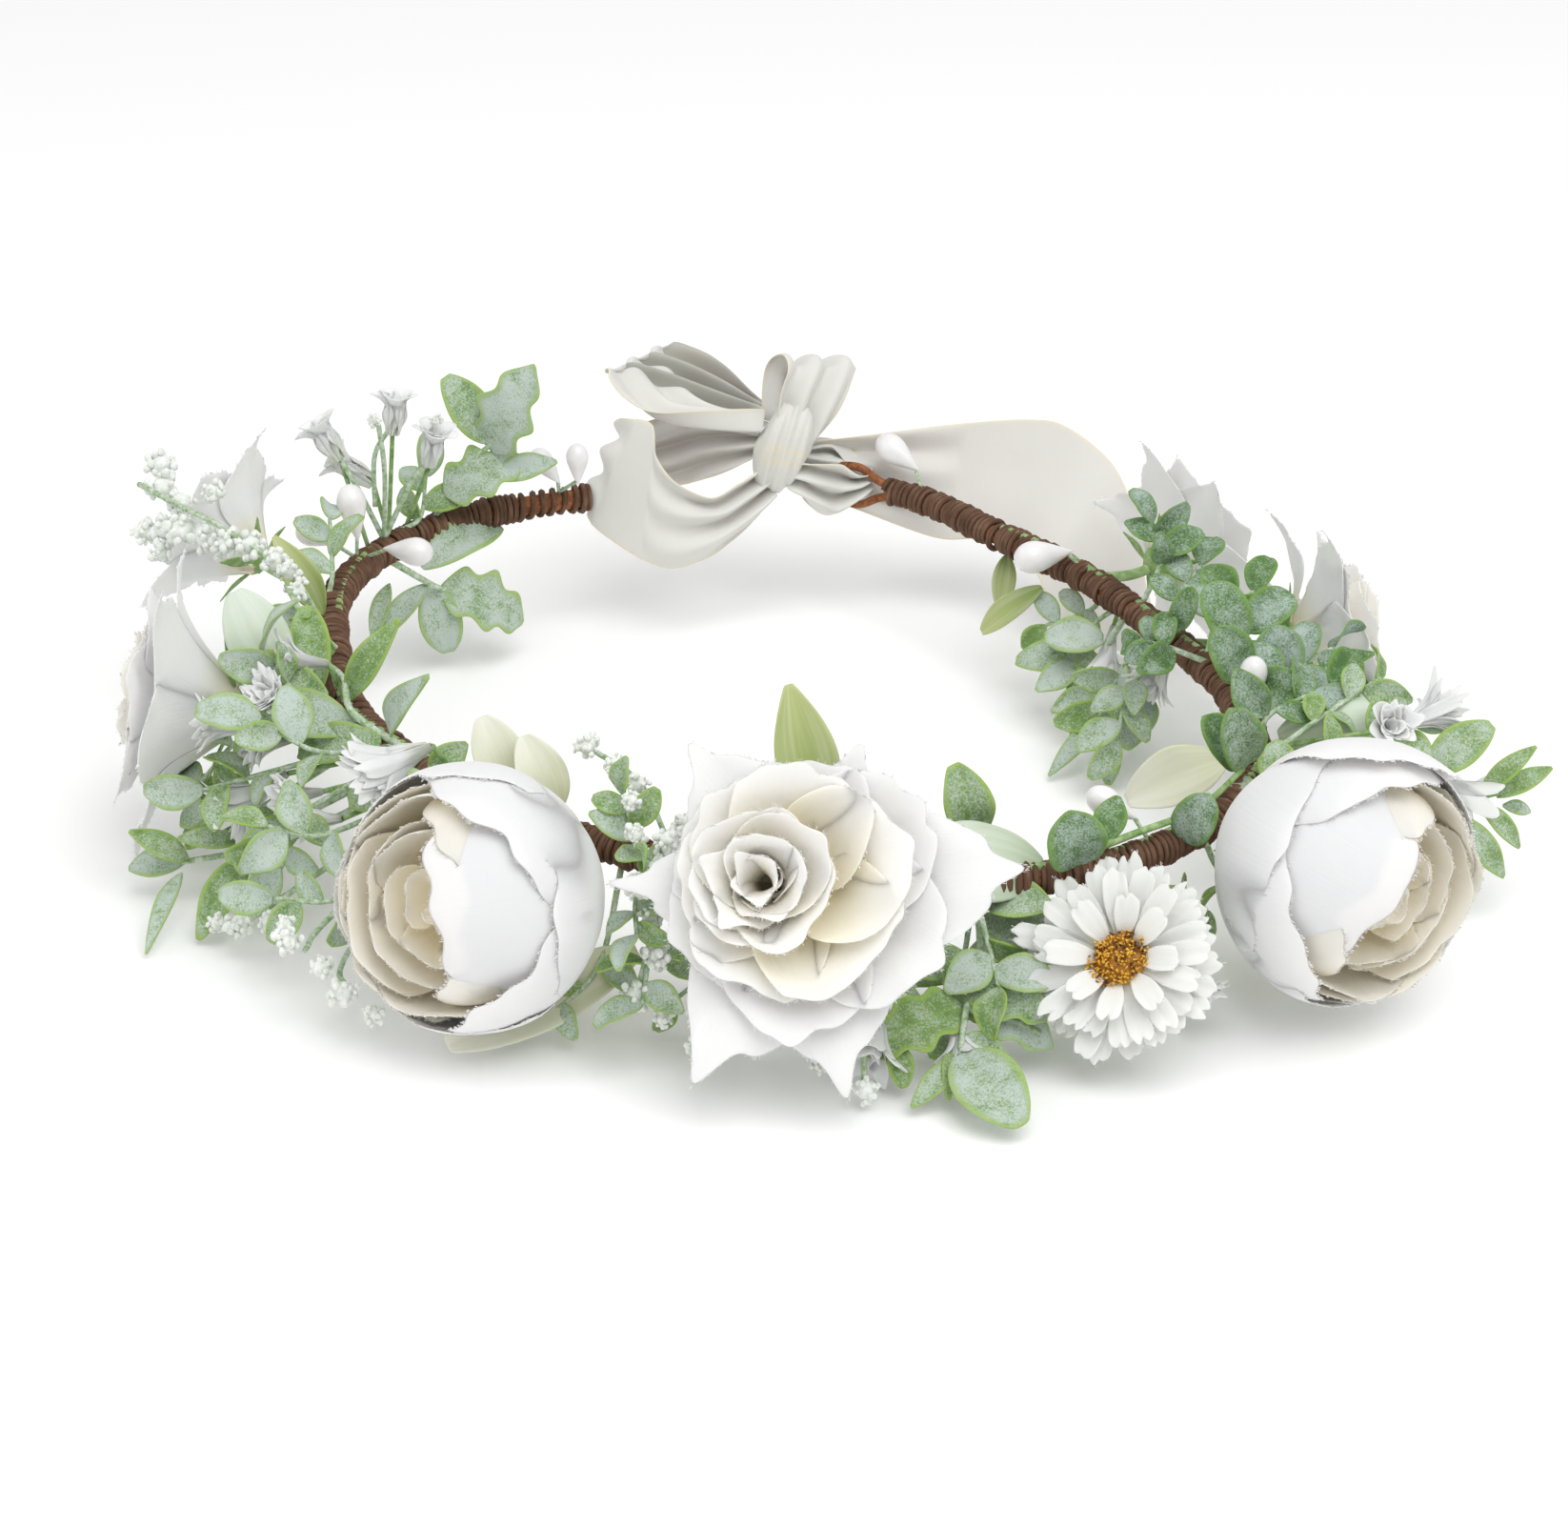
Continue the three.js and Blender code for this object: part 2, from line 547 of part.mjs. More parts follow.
const TAIL = [
  [v(13, 97.5, 37), v(0, 0.3, 1), 12],
  [v(26, 99.5, 33), v(0.1, 0.35, 0.95), 20],
  [v(39, 97, 29), v(0.25, 0.4, 0.87)],
  [v(51, 93, 28), v(0.42, 0.39, 0.82)],
  [v(61, 88, 23), v(0.65, 0.55, 0.5)],
  [v(66, 83, 13), v(0.75, 0.64, 0.15)],
  [v(68.5, 80.5, 4), v(0.77, 0.64, 0)],
  [v(70.5, 78.2, 1), v(0.77, 0.64, 0)],
  [v(73, 75.2, 0.4), v(0.77, 0.64, 0)],
  [v(76, 71.6, 0.4), v(0.77, 0.64, 0)],
  [v(80, 66.8, 0.4), v(0.77, 0.64, 0)],
];

const knot = new THREE.SphereGeometry(1, 10, 6);
knot.scale(KNOT.size.x, KNOT.size.y, KNOT.size.z);
knot.translate(KNOT.middle.x, KNOT.middle.y, KNOT.middle.z);
piece("ribbon_bow", join([knot, ...BOW_HALVES.map((half) => strip(half))]), COLOUR.ribbon);
piece("ribbon_eye_loop", strip(EYE_LOOP), COLOUR.ribbon);
piece("ribbon_hitch", strip(EYE_HITCH), COLOUR.ribbon);
piece("ribbon_tail", strip(TAIL), COLOUR.ribbon);

export default crown;
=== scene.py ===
"""The looks of a flower crown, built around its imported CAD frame.

A hand-bent ring bound with brown twine carries fabric roses, ranunculus heads and a daisy, frosted
and smooth leaves, white pips and powdery filler flowers, and a cream ribbon ties it at the back.
Layout numbers are millimetres and degrees: [degrees round from +X, distance from the Z axis, height].
"""

import math
from collections import namedtuple

import bpy
import numpy as np
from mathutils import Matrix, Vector


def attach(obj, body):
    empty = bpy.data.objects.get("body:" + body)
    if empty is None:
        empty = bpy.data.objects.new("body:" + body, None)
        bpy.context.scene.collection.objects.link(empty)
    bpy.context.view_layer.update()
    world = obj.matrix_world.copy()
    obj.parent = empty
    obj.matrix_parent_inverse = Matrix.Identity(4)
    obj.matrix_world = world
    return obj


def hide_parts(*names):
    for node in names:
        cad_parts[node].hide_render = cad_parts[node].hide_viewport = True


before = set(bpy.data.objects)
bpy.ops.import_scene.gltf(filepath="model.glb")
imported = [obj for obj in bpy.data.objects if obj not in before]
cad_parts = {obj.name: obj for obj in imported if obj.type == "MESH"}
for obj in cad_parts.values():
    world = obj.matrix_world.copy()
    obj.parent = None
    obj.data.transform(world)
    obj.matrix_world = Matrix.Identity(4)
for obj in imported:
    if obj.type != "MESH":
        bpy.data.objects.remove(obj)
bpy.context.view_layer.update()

MM = 0.001
UP = np.array([0.0, 0.0, 1.0])
rng = np.random.default_rng(7)

# ---------------------------------------------------------------- placing
RING_HEIGHT = 28.0
RING_START, RING_SWEEP = 73.0, -320.0
RING_RADII = [91, 95, 91.5, 81.5, 76.5, 72.5, 72, 75, 81.5, 91, 99.5, 99.5, 89.5, 80, 78, 80.5, 91]
TWINE_RADIUS = 3.1
TO_VIEWER = np.array([0.0, -0.7, 0.72])  # the way most leaf faces are turned


def unit(vector):
    vector = np.asarray(vector, float)
    return vector / max(np.linalg.norm(vector), 1e-9)


def at(angle, distance, height):
    a = math.radians(angle)
    return np.array([distance * math.cos(a), distance * math.sin(a), height])


def facing(yaw, pitch):
    return at(yaw, math.cos(math.radians(pitch)), math.sin(math.radians(pitch)))


def random_angle(count=None):
    """One angle in radians at random, or count of them."""
    return rng.random(count) * 6.28


def catmull_rom(a, b, c, d, f):
    """The point at share f of the way from b to c, on the smooth curve through all four."""
    return 0.5 * (2 * b + (c - a) * f + (2 * a - 5 * b + 4 * c - d) * f**2 + (3 * b - a - 3 * c + d) * f**3)


def smooth_curve(points, count):
    """Points evenly spread in parameter along a Catmull-Rom curve through points."""
    p = np.asarray(points, float)
    if len(p) == 2:
        return p[0] + (p[1] - p[0]) * np.linspace(0, 1, count)[:, None]
    p = np.vstack([2 * p[0] - p[1], p, 2 * p[-1] - p[-2]])
    t = np.linspace(0, len(p) - 3 - 1e-9, count)
    i = t.astype(int)
    return catmull_rom(p[i], p[i + 1], p[i + 2], p[i + 3], (t - i)[:, None])


def ring_radius(angle):
    if angle > RING_START:
        angle -= 360
    last = len(RING_RADII) - 1
    share = (angle - (RING_START + RING_SWEEP)) / -RING_SWEEP * last
    share = min(max(share, 0), last - 1e-6)
    i = int(share)
    return catmull_rom(*(RING_RADII[min(max(k, 0), last)] for k in range(i - 1, i + 3)), share - i)


def ring_point(angle):
    return at(angle, ring_radius(angle), RING_HEIGHT)


def on_twine(angle, roll, depth=0.8):
    """A point depth under the twine's surface: roll is degrees from its outer side over its top."""
    reach = TWINE_RADIUS - depth
    r = math.radians(roll)
    return at(angle, ring_radius(angle) + reach * math.cos(r), RING_HEIGHT + reach * math.sin(r))


def spot(numbers):
    """A point given as (angle, roll) on the twine or as (angle, distance, height)."""
    return on_twine(*numbers) if len(numbers) == 2 else at(*numbers)


# ---------------------------------------------------------------- mesh building
class Shape:
    """Patches that make up one piece. Marks hold how far a point is along and across its patch, and a
    number of the patch's own, which on the ribbon is painted shade."""

    def __init__(self):
        self.points, self.marks, self.faces, self.count = [], [], [], 0

    def add(self, points, marks, faces):
        self.points.append(np.asarray(points, float))
        self.marks.append(np.asarray(marks, float))
        self.faces += [tuple(k + self.count for k in face) for face in faces]
        self.count += len(points)

    def grid(self, points, across=None, along=None, tone=None, close=False):
        """points[i][j]: i runs along and j across. close joins the last column to the first."""
        n, m = points.shape[:2]
        tone = rng.random() if tone is None else tone
        s = np.broadcast_to(np.linspace(0, 1, n)[:, None] if along is None else along, (n, m))
        t = np.broadcast_to(np.linspace(-1, 1, m)[None, :] if across is None else across, (n, m))
        marks = np.stack([s, t, np.broadcast_to(tone, (n, m))], -1).reshape(-1, 3)
        faces = []
        for i in range(n - 1):
            for j in range(m if close else m - 1):
                k = (j + 1) % m
                faces.append((i * m + j, i * m + k, (i + 1) * m + k, (i + 1) * m + j))
        self.add(points.reshape(-1, 3), marks, faces)

    def tube(self, path, radius, sides=8, tone=None, caps=True):
        """A round bar along path; radius is one number or one for each point."""
        path = np.asarray(path, float)
        radii = np.broadcast_to(np.asarray(radius, float), (len(path),))
        tangent = np.gradient(path, axis=0)
        tangent /= np.maximum(np.linalg.norm(tangent, axis=1, keepdims=True), 1e-9)
        side = np.cross(tangent[0], UP if abs(tangent[0][2]) < 0.9 else [1.0, 0, 0])
        rows = []
        angles = np.linspace(0, 2 * np.pi, sides, endpoint=False)
        for point, along, r in zip(path, tangent, radii):
            side = unit(side - along * (side @ along))
            other = np.cross(along, side)
            rows.append(point + r * (np.cos(angles)[:, None] * side + np.sin(angles)[:, None] * other))
        self.grid(np.array(rows), tone=tone, close=True)
        if caps:
            first = self.count - len(path) * sides
            last = self.count - sides
            self.faces.append(tuple(range(first + sides - 1, first - 1, -1)))
            self.faces.append(tuple(range(last, last + sides)))

    def lathe(self, profile, centre, direction, sides=20, tone=None, wobble=0.0):
        """A solid of revolution: profile is (radius, height) pairs along direction."""
        x, y, z = basis(direction)
        angles = np.linspace(0, 2 * np.pi, sides, endpoint=False)
        phase = random_angle()
        wave = 1 + wobble * np.sin(3 * angles + phase) + wobble * 0.6 * np.sin(5 * angles + 2 * phase)
        rows = [
            centre + h * z + r * wave[:, None] * (np.cos(angles)[:, None] * x + np.sin(angles)[:, None] * y)
            for r, h in profile
        ]
        self.grid(np.array(rows), tone=tone, close=True)

    def blob(self, centre, radius, lumps=0.25, detail=7):
        """A rough little ball, such as a clump of powdered buds."""
        n, m = detail, detail + 3
        polar = np.linspace(0.02, math.pi - 0.02, n)[:, None]
        turn = np.linspace(0, 2 * np.pi, m, endpoint=False)[None, :]
        r = radius * (1 + lumps * (rng.random((n, m)) - 0.4))
        r[0], r[-1] = r[0].mean(), r[-1].mean()
        flat = np.sin(polar)
        ball = np.stack([flat * np.cos(turn), flat * np.sin(turn), np.cos(polar) + 0 * turn], -1)
        self.grid(centre + ball * r[..., None], close=True)


def basis(direction):
    """Three axes at right angles, the last along direction and the first as near upright as it can be."""
    z = unit(direction)
    x = UP - z * (UP @ z)
    if np.linalg.norm(x) < 1e-3:
        x = np.array([1.0, 0, 0]) - z * z[0]
    x = unit(x)
    return x, np.cross(z, x), z


def build(name, shape, material, body, nodes=(), thickness=0.0, smooth=2):
    """Makes one piece of a shape, which rides on a body and may stand for CAD nodes."""
    mesh = bpy.data.meshes.new(name)
    points = np.concatenate(shape.points) * MM
    mesh.from_pydata(points.tolist(), [], shape.faces)
    marks = mesh.attributes.new("marks", "FLOAT_VECTOR", "POINT")
    marks.data.foreach_set("vector", np.concatenate(shape.marks).astype(np.float32).ravel())
    mesh.polygons.foreach_set("use_smooth", [True] * len(mesh.polygons))
    mesh.materials.append(material)
    piece = bpy.data.objects.new(name, mesh)
    bpy.context.scene.collection.objects.link(piece)
    if thickness:
        solidify = piece.modifiers.new("Thickness", "SOLIDIFY")
        solidify.thickness = thickness * MM
        solidify.offset = 0
    if smooth > 1:
        fine = piece.modifiers.new("Smooth", "SUBSURF")
        fine.levels = fine.render_levels = smooth - 1
    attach(piece, body)
    if nodes:
        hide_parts(*nodes)
    return piece


# ---------------------------------------------------------------- materials
def new_material(name):
    """A material with its shader, and a node maker and a linker for it."""
    material = bpy.data.materials.new(name)
    material.use_nodes = True
    tree = material.node_tree
    shader = tree.nodes["Principled BSDF"]

    def node(kind, inputs=None, **settings):
        made = tree.nodes.new(kind)
        for key, value in settings.items():
            setattr(made, key, value)
        for key, value in (inputs or {}).items():
            if isinstance(value, bpy.types.NodeSocket):
                tree.links.new(value, made.inputs[key])
            else:
                made.inputs[key].default_value = value
        return made

    return material, shader, node, tree.links.new


def math_node(node, operation, a, b=0.0, clamp=False):
    return node("ShaderNodeMath", {0: a, 1: b}, operation=operation, use_clamp=clamp).outputs[0]


def times(node, a, b, clamp=False):
    return math_node(node, "MULTIPLY", a, b, clamp)


def spread(node, value, low, high, start=0.0, end=1.0):
    """start where value is low, end where it is high, and a straight line between them."""
    inputs = {"Value": value, "From Min": low, "From Max": high, "To Min": start, "To Max": end}
    return node("ShaderNodeMapRange", inputs).outputs[0]


def ramp(node, factor, stops):
    """A colour ramp of (position, colour) stops."""
    made = node("ShaderNodeValToRGB", {"Fac": factor})
    elements = made.color_ramp.elements
    while len(elements) < len(stops):
        elements.new(0.5)
    for element, (position, colour) in zip(elements, stops):
        element.position = position
        element.color = (*colour, 1)
    return made.outputs["Color"]


def mix(node, factor, a, b):
    made = node("ShaderNodeMix", data_type="RGBA", blend_type="MIX")
    tree = made.id_data
    for index, value in ((0, factor), (6, a), (7, b)):
        if isinstance(value, bpy.types.NodeSocket):
            tree.links.new(value, made.inputs[index])
        elif index == 0:
            made.inputs[0].default_value = value
        else:
            made.inputs[index].default_value = (*value, 1)
    return made.outputs[2]


Marks = namedtuple("Marks", "along across tone vector")


def marks_of(node):
    attribute = node("ShaderNodeAttribute", attribute_name="marks")
    split = node("ShaderNodeSeparateXYZ", {0: attribute.outputs["Vector"]})
    return Marks(*split.outputs[:3], attribute.outputs["Vector"])


def noise(node, scale, detail=3.0, roughness=0.5):
    """Noise through space; scale is its waves in a metre."""
    coordinates = node("ShaderNodeTexCoord").outputs["Object"]
    inputs = {"Vector": coordinates, "Scale": scale, "Detail": detail, "Roughness": roughness}
    return node("ShaderNodeTexNoise", inputs).outputs["Fac"]


def drawn_noise(node, marks, fineness, detail, roughness=0.5):
    """Noise that follows a patch; fineness is along it, across it and from patch to patch."""
    drawn = node("ShaderNodeVectorMath", {0: marks.vector, 1: fineness}, operation="MULTIPLY").outputs[0]
    inputs = {"Vector": drawn, "Scale": 1.0, "Detail": detail, "Roughness": roughness}
    return node("ShaderNodeTexNoise", inputs).outputs["Fac"]


def bump(node, link, shader, height, strength, distance):
    made = node("ShaderNodeBump", {"Height": height, "Strength": strength, "Distance": distance * MM})
    link(made.outputs["Normal"], shader.inputs["Normal"])


def surface(shader, settings):
    """Sets numbers and colours on the shader's own sockets."""
    for name, value in settings.items():
        shader.inputs[name].default_value = value


def petal_material(name, base, heart, warm_until, pleats=26.0):
    """Matte fabric: heart colour at the petal's foot, base colour from warm_until outwards, with fine
    pleats that run along the petal and a faint weave."""
    material, shader, node, link = new_material(name)
    marks = marks_of(node)
    uneven = times(node, math_node(node, "SUBTRACT", noise(node, 90.0), 0.5), 0.25)
    own = times(node, math_node(node, "SUBTRACT", marks.tone, 0.5), 0.12)
    shifted = math_node(node, "ADD", math_node(node, "ADD", marks.along, uneven), own)
    middle = tuple(0.45 * h + 0.55 * b for h, b in zip(heart, base))
    # The heart colour at the foot is partly the fabric's own tint and, in the cream materials, partly painted
    # warm glow for light shining through the petals deep in the bloom.
    colour = ramp(node, shifted, [(0.0, heart), (warm_until * 0.55, middle), (warm_until, base), (1.0, base)])
    link(mix(node, times(node, marks.tone, 0.10), colour, (0.83, 0.83, 0.84)), shader.inputs["Base Color"])
    pleat = drawn_noise(node, marks, (0.6, pleats, 3.0), 4.0)
    weave = noise(node, 2600.0, 1.0)
    bump(node, link, shader, math_node(node, "ADD", pleat, times(node, weave, 0.25)), 0.35, 0.25)
    surface(shader, {
        "Roughness": 0.72, "Sheen Weight": 0.25, "Sheen Roughness": 0.5, "Specular IOR Level": 0.2,
        "Subsurface Weight": 0.5, "Subsurface Radius": (1.0, 0.96, 0.86), "Subsurface Scale": 1.5 * MM,
    })
    return material


def frosted_material(name, deep, bright, powder, amount):
    """A moulded leaf with white flocking on its face and bare bright edges."""
    material, shader, node, link = new_material(name)
    marks = marks_of(node)
    side = math_node(node, "ABSOLUTE", marks.across)
    grain = noise(node, 2600.0, 2.0, 0.7)
    patches = noise(node, 230.0, 4.0, 0.65)
    edge = spread(node, side, 0.66, 0.93)
    tip = spread(node, marks.along, 0.9, 1.0)
    rim = math_node(node, "MAXIMUM", edge, tip, clamp=True)
    rimmed = mix(node, times(node, rim, 0.8), mix(node, patches, deep, bright), bright)
    dust = math_node(node, "ADD", times(node, patches, 0.8), times(node, grain, 1.0))
    dust = math_node(node, "ADD", dust, times(node, marks.tone, 0.3))
    dust = spread(node, dust, 1.16 - amount, 1.50 - amount)
    dust = times(node, dust, math_node(node, "SUBTRACT", 1.0, times(node, rim, 0.75)), clamp=True)
    veined = mix(node, spread(node, side, 0.0, 0.09, 0.35, 0.0), rimmed, bright)
    link(mix(node, dust, veined, powder), shader.inputs["Base Color"])
    bump(node, link, shader, math_node(node, "ADD", times(node, grain, 0.6), patches), 0.55, 0.5)
    surface(shader, {"Roughness": 0.78, "Specular IOR Level": 0.3})
    return material


def smooth_leaf_material(name, foot, tip):
    """A thin smooth leaf or sepal with long pale veins."""
    material, shader, node, link = new_material(name)
    marks = marks_of(node)
    vein = drawn_noise(node, marks, (0.8, 3.5, 5.0), 3.0)
    colour = ramp(node, marks.along, [(0.0, foot), (0.9, tip), (1.0, tip)])
    pale = tuple(min(1.0, 0.5 * c + 0.5) for c in tip)
    link(mix(node, spread(node, vein, 0.42, 0.85, 0.0, 0.45), colour, pale), shader.inputs["Base Color"])
    bump(node, link, shader, vein, 0.3, 0.3)
    surface(shader, {"Roughness": 0.5, "Subsurface Weight": 0.15, "Subsurface Scale": 1.0 * MM})
    return material


def speckled_material(name, low, high, scale, roughness=0.8, strength=0.4, grip=0.3):
    """Two colours in a fine grain, for stems, powder and wire."""
    material, shader, node, link = new_material(name)
    grain = noise(node, scale, 4.0, 0.65)
    link(mix(node, spread(node, grain, 0.35, 0.68), low, high), shader.inputs["Base Color"])
    bump(node, link, shader, grain, strength, grip)
    surface(shader, {"Roughness": roughness, "Specular IOR Level": 0.25})
    return material


def twine_material():
    """Paper cord: brown streaks along the cord, darker in its folds as painted shade, with paler worn fibres.
    """
    material, shader, node, link = new_material("brown_twine")
    streak = drawn_noise(node, marks_of(node), (160.0, 2.5, 9.0), 5.0, 0.7)
    patches = noise(node, 260.0, 3.0)
    both = math_node(node, "ADD", times(node, streak, 0.6), times(node, patches, 0.4))
    stops = [(0.3, (0.045, 0.022, 0.014)), (0.5, (0.14, 0.075, 0.045)), (0.72, (0.30, 0.18, 0.12))]
    # The same height drives colour and bump: the cord's own brown streaks, with painted shade in the dips of
    # its folds.
    link(ramp(node, both, stops), shader.inputs["Base Color"])
    bump(node, link, shader, both, 0.7, 0.3)
    surface(shader, {"Roughness": 0.8, "Specular IOR Level": 0.25})
    return material


def ribbon_material():
    """Cream woven ribbon: fine cross threads, a soft sheen and slightly warmer selvedges. A patch's tone
    paints shade on it: it is darker and greyer where the inside of a loop lies in shadow."""
    material, shader, node, link = new_material("cream_ribbon")
    marks = marks_of(node)
    edge = spread(node, math_node(node, "ABSOLUTE", marks.across), 0.9, 1.0)
    # Painted shade: the tone greys the ribbon where the inside of a loop lies in shadow.
    painted_shade = times(node, marks.tone, 0.9, clamp=True)
    base = mix(node, noise(node, 60.0), (0.68, 0.675, 0.635), (0.75, 0.745, 0.71))
    edged = mix(node, times(node, edge, 0.5), base, (0.80, 0.72, 0.50))
    link(mix(node, painted_shade, edged, (0.40, 0.395, 0.35)), shader.inputs["Base Color"])
    bump(node, link, shader, drawn_noise(node, marks, (420.0, 8.0, 1.0), 1.0), 0.25, 0.12)
    surface(shader, {
        "Roughness": 0.6, "Sheen Weight": 0.3, "Sheen Roughness": 0.4, "Subsurface Weight": 0.1,
        "Subsurface Scale": 1.0 * MM,
    })
    return material


def pip_material():
    """A glossy white drop."""
    material, shader, node, link = new_material("white_pip")
    stops = [(0.3, (0.80, 0.78, 0.78)), (0.7, (0.88, 0.87, 0.88))]
    link(ramp(node, noise(node, 220.0), stops), shader.inputs["Base Color"])
    bump(node, link, shader, noise(node, 500.0), 0.08, 0.2)
    surface(shader, {
        "Roughness": 0.28, "Coat Weight": 0.3, "Subsurface Weight": 0.2, "Subsurface Scale": 2.0 * MM,
    })
    return material


def disc_material():
    """Cut threads of the daisy's disc, golden or dark brown by thread."""
    material, shader, node, link = new_material("daisy_threads")
    dark = [(0.0, (0.10, 0.035, 0.02)), (0.2, (0.20, 0.07, 0.02))]
    stops = dark + [(0.3, (0.62, 0.30, 0.03)), (1.0, (0.92, 0.58, 0.07))]
    link(ramp(node, marks_of(node).tone, stops), shader.inputs["Base Color"])
    bump(node, link, shader, noise(node, 1200.0), 0.3, 0.1)
    shader.inputs["Roughness"].default_value = 0.55
    return material


# The cream hearts are partly the petals' own cream and partly painted glow for light through the fabric deep
# in the blooms; the green hearts are the petals' own colour.
WHITE = (0.87, 0.865, 0.855)
CREAM = (0.90, 0.78, 0.48)
PETAL = petal_material("white_petal", WHITE, CREAM, 0.42)
PETAL_HEART = petal_material("cream_petal", (0.91, 0.895, 0.85), (0.99, 0.86, 0.48), 0.95)
PETAL_BOWL = petal_material("bowl_petal", (0.89, 0.855, 0.76), (0.98, 0.80, 0.40), 1.0)
PETAL_GLOBE = petal_material("globe_petal", WHITE, (0.93, 0.86, 0.58), 0.6)
PETAL_COOL = petal_material("cool_petal", (0.84, 0.845, 0.83), (0.66, 0.71, 0.55), 0.35)
DAISY_PETAL = petal_material("daisy_petal", (0.84, 0.845, 0.80), (0.68, 0.74, 0.52), 0.35, pleats=5.0)
SEPAL = smooth_leaf_material("mint_leaf", (0.42, 0.52, 0.34), (0.62, 0.70, 0.60))
OLIVE = smooth_leaf_material("olive_leaf", (0.22, 0.32, 0.07), (0.44, 0.50, 0.20))
PALE_LEAF = smooth_leaf_material("pale_leaf", (0.58, 0.62, 0.40), (0.70, 0.72, 0.60))
FROSTED = frosted_material("frosted_leaf", (0.07, 0.16, 0.07), (0.33, 0.49, 0.10), (0.50, 0.58, 0.53), 0.30)
ROUND = frosted_material("round_leaf", (0.03, 0.09, 0.04), (0.18, 0.33, 0.07), (0.42, 0.50, 0.47), 0.24)
GREEN_STEM = speckled_material("green_stem", (0.14, 0.27, 0.06), (0.40, 0.54, 0.27), 500.0, 0.6)
POWDER = speckled_material("white_powder", (0.74, 0.79, 0.71), (0.92, 0.93, 0.92), 700.0, 0.9, 0.9, 0.5)
POWDER_STEM = speckled_material(
    "powdered_stem", (0.22, 0.36, 0.14), (0.66, 0.73, 0.64), 900.0, 0.85, 0.6, 0.4)
WIRE = speckled_material("brown_wire", (0.17, 0.055, 0.02), (0.42, 0.17, 0.07), 900.0, 0.75)
TWINE = twine_material()
RIBBON = ribbon_material()
PIP = pip_material()
THREADS = disc_material()

# ---------------------------------------------------------------- ring: wire and twine
TWINE_PITCH = 1.1
TURN_STEPS = 14  # points in one turn of the cord
CORD_RADIUS = 0.6
WRAPS = 7


def wind_twine(start, sweep):
    """One paper cord wound round and round the core from start, close in places and gappy in others."""
    centres = np.array([ring_point(start + sweep * k / 60) for k in range(61)])
    lengths = np.concatenate([[0], np.cumsum(np.linalg.norm(np.diff(centres, axis=0), axis=1))])
    steps = int(lengths[-1] / TWINE_PITCH * TURN_STEPS)
    s = np.linspace(0, lengths[-1], steps)

    def drift(knots, spread):
        return np.interp(s, np.linspace(0, lengths[-1], knots), rng.normal(0, spread, knots))

    gaps = np.clip(drift(16, 1.0) - 0.4, 0, 1)
    turn = 2 * np.pi * np.cumsum(1 / (TWINE_PITCH * (1 + 1.3 * gaps))) * (s[1] - s[0])
    path = np.stack([np.interp(s, lengths, centres[:, k]) for k in range(3)], 1)
    tangent = np.gradient(path, axis=0)
    tangent /= np.linalg.norm(tangent, axis=1, keepdims=True)
    outward = np.cross(tangent, UP)
    reach = TWINE_RADIUS - CORD_RADIUS + drift(60, 0.2) + 0.15 * np.sin(turn * 0.37)
    path += reach[:, None] * (np.cos(turn)[:, None] * outward + np.sin(turn)[:, None] * UP)
    path += (0.4 * np.sin(turn * 0.21 + drift(24, 1.0)))[:, None] * tangent
    cord = Shape()
    cord.tube(path, CORD_RADIUS * (1 + 0.2 * np.sin(s * 3.1) * np.sin(s * 0.7)), sides=6)
    return cord


sweep = RING_SWEEP / WRAPS
for i in range(WRAPS):
    cord = wind_twine(RING_START + sweep * i, sweep)
    build(f"twine_{i + 1}", cord, TWINE, "ring", [f"twine_wrap_{i + 1}"], smooth=1)

# The core that shows between turns, and the green stems bound in with it.
core = Shape()
core.tube([ring_point(RING_START + RING_SWEEP * k / 120) for k in range(121)], 2.0, sides=10)
build("ring_core", core, WIRE, "ring", smooth=1)
bound = Shape()
for start, end, roll in [(52, 28, 100), (20, -30, 70), (-38, -62, 110), (-150, -176, 80), (-196, -214, 100)]:
    angles = np.linspace(start, end, 30)
    rolls = roll + 25 * np.sin(angles * 0.12)
    bound.tube([on_twine(angle, r, 1.0) for angle, r in zip(angles, rolls)], 0.9, sides=7)
build("bound_stems", bound, GREEN_STEM, "ring", smooth=1)

# Distance out from the ring's end, and height over it.
EYE_OUTLINE = [
    (-4, -0.9), (1.5, -1.7), (6.8, -4.2), (12.8, -3.0), (15, 0), (12.8, 3.0), (6.8, 4.2), (1.5, 1.7),
    (-4, 0.9),
]
eyes = Shape()
for angle, yaw in ((RING_START, 155), (RING_START + RING_SWEEP, 20)):
    end, out = ring_point(angle), facing(yaw, 0)
    eyes.tube(smooth_curve([end + a * out + h * UP for a, h in EYE_OUTLINE], 60), 0.9, sides=8)
build("wire_eyes", eyes, WIRE, "ring", ["frame_wire"], smooth=1)


# ---------------------------------------------------------------- petals
PETAL_THICKNESS = 0.28
THREAD_HALF_WIDTH = 0.045


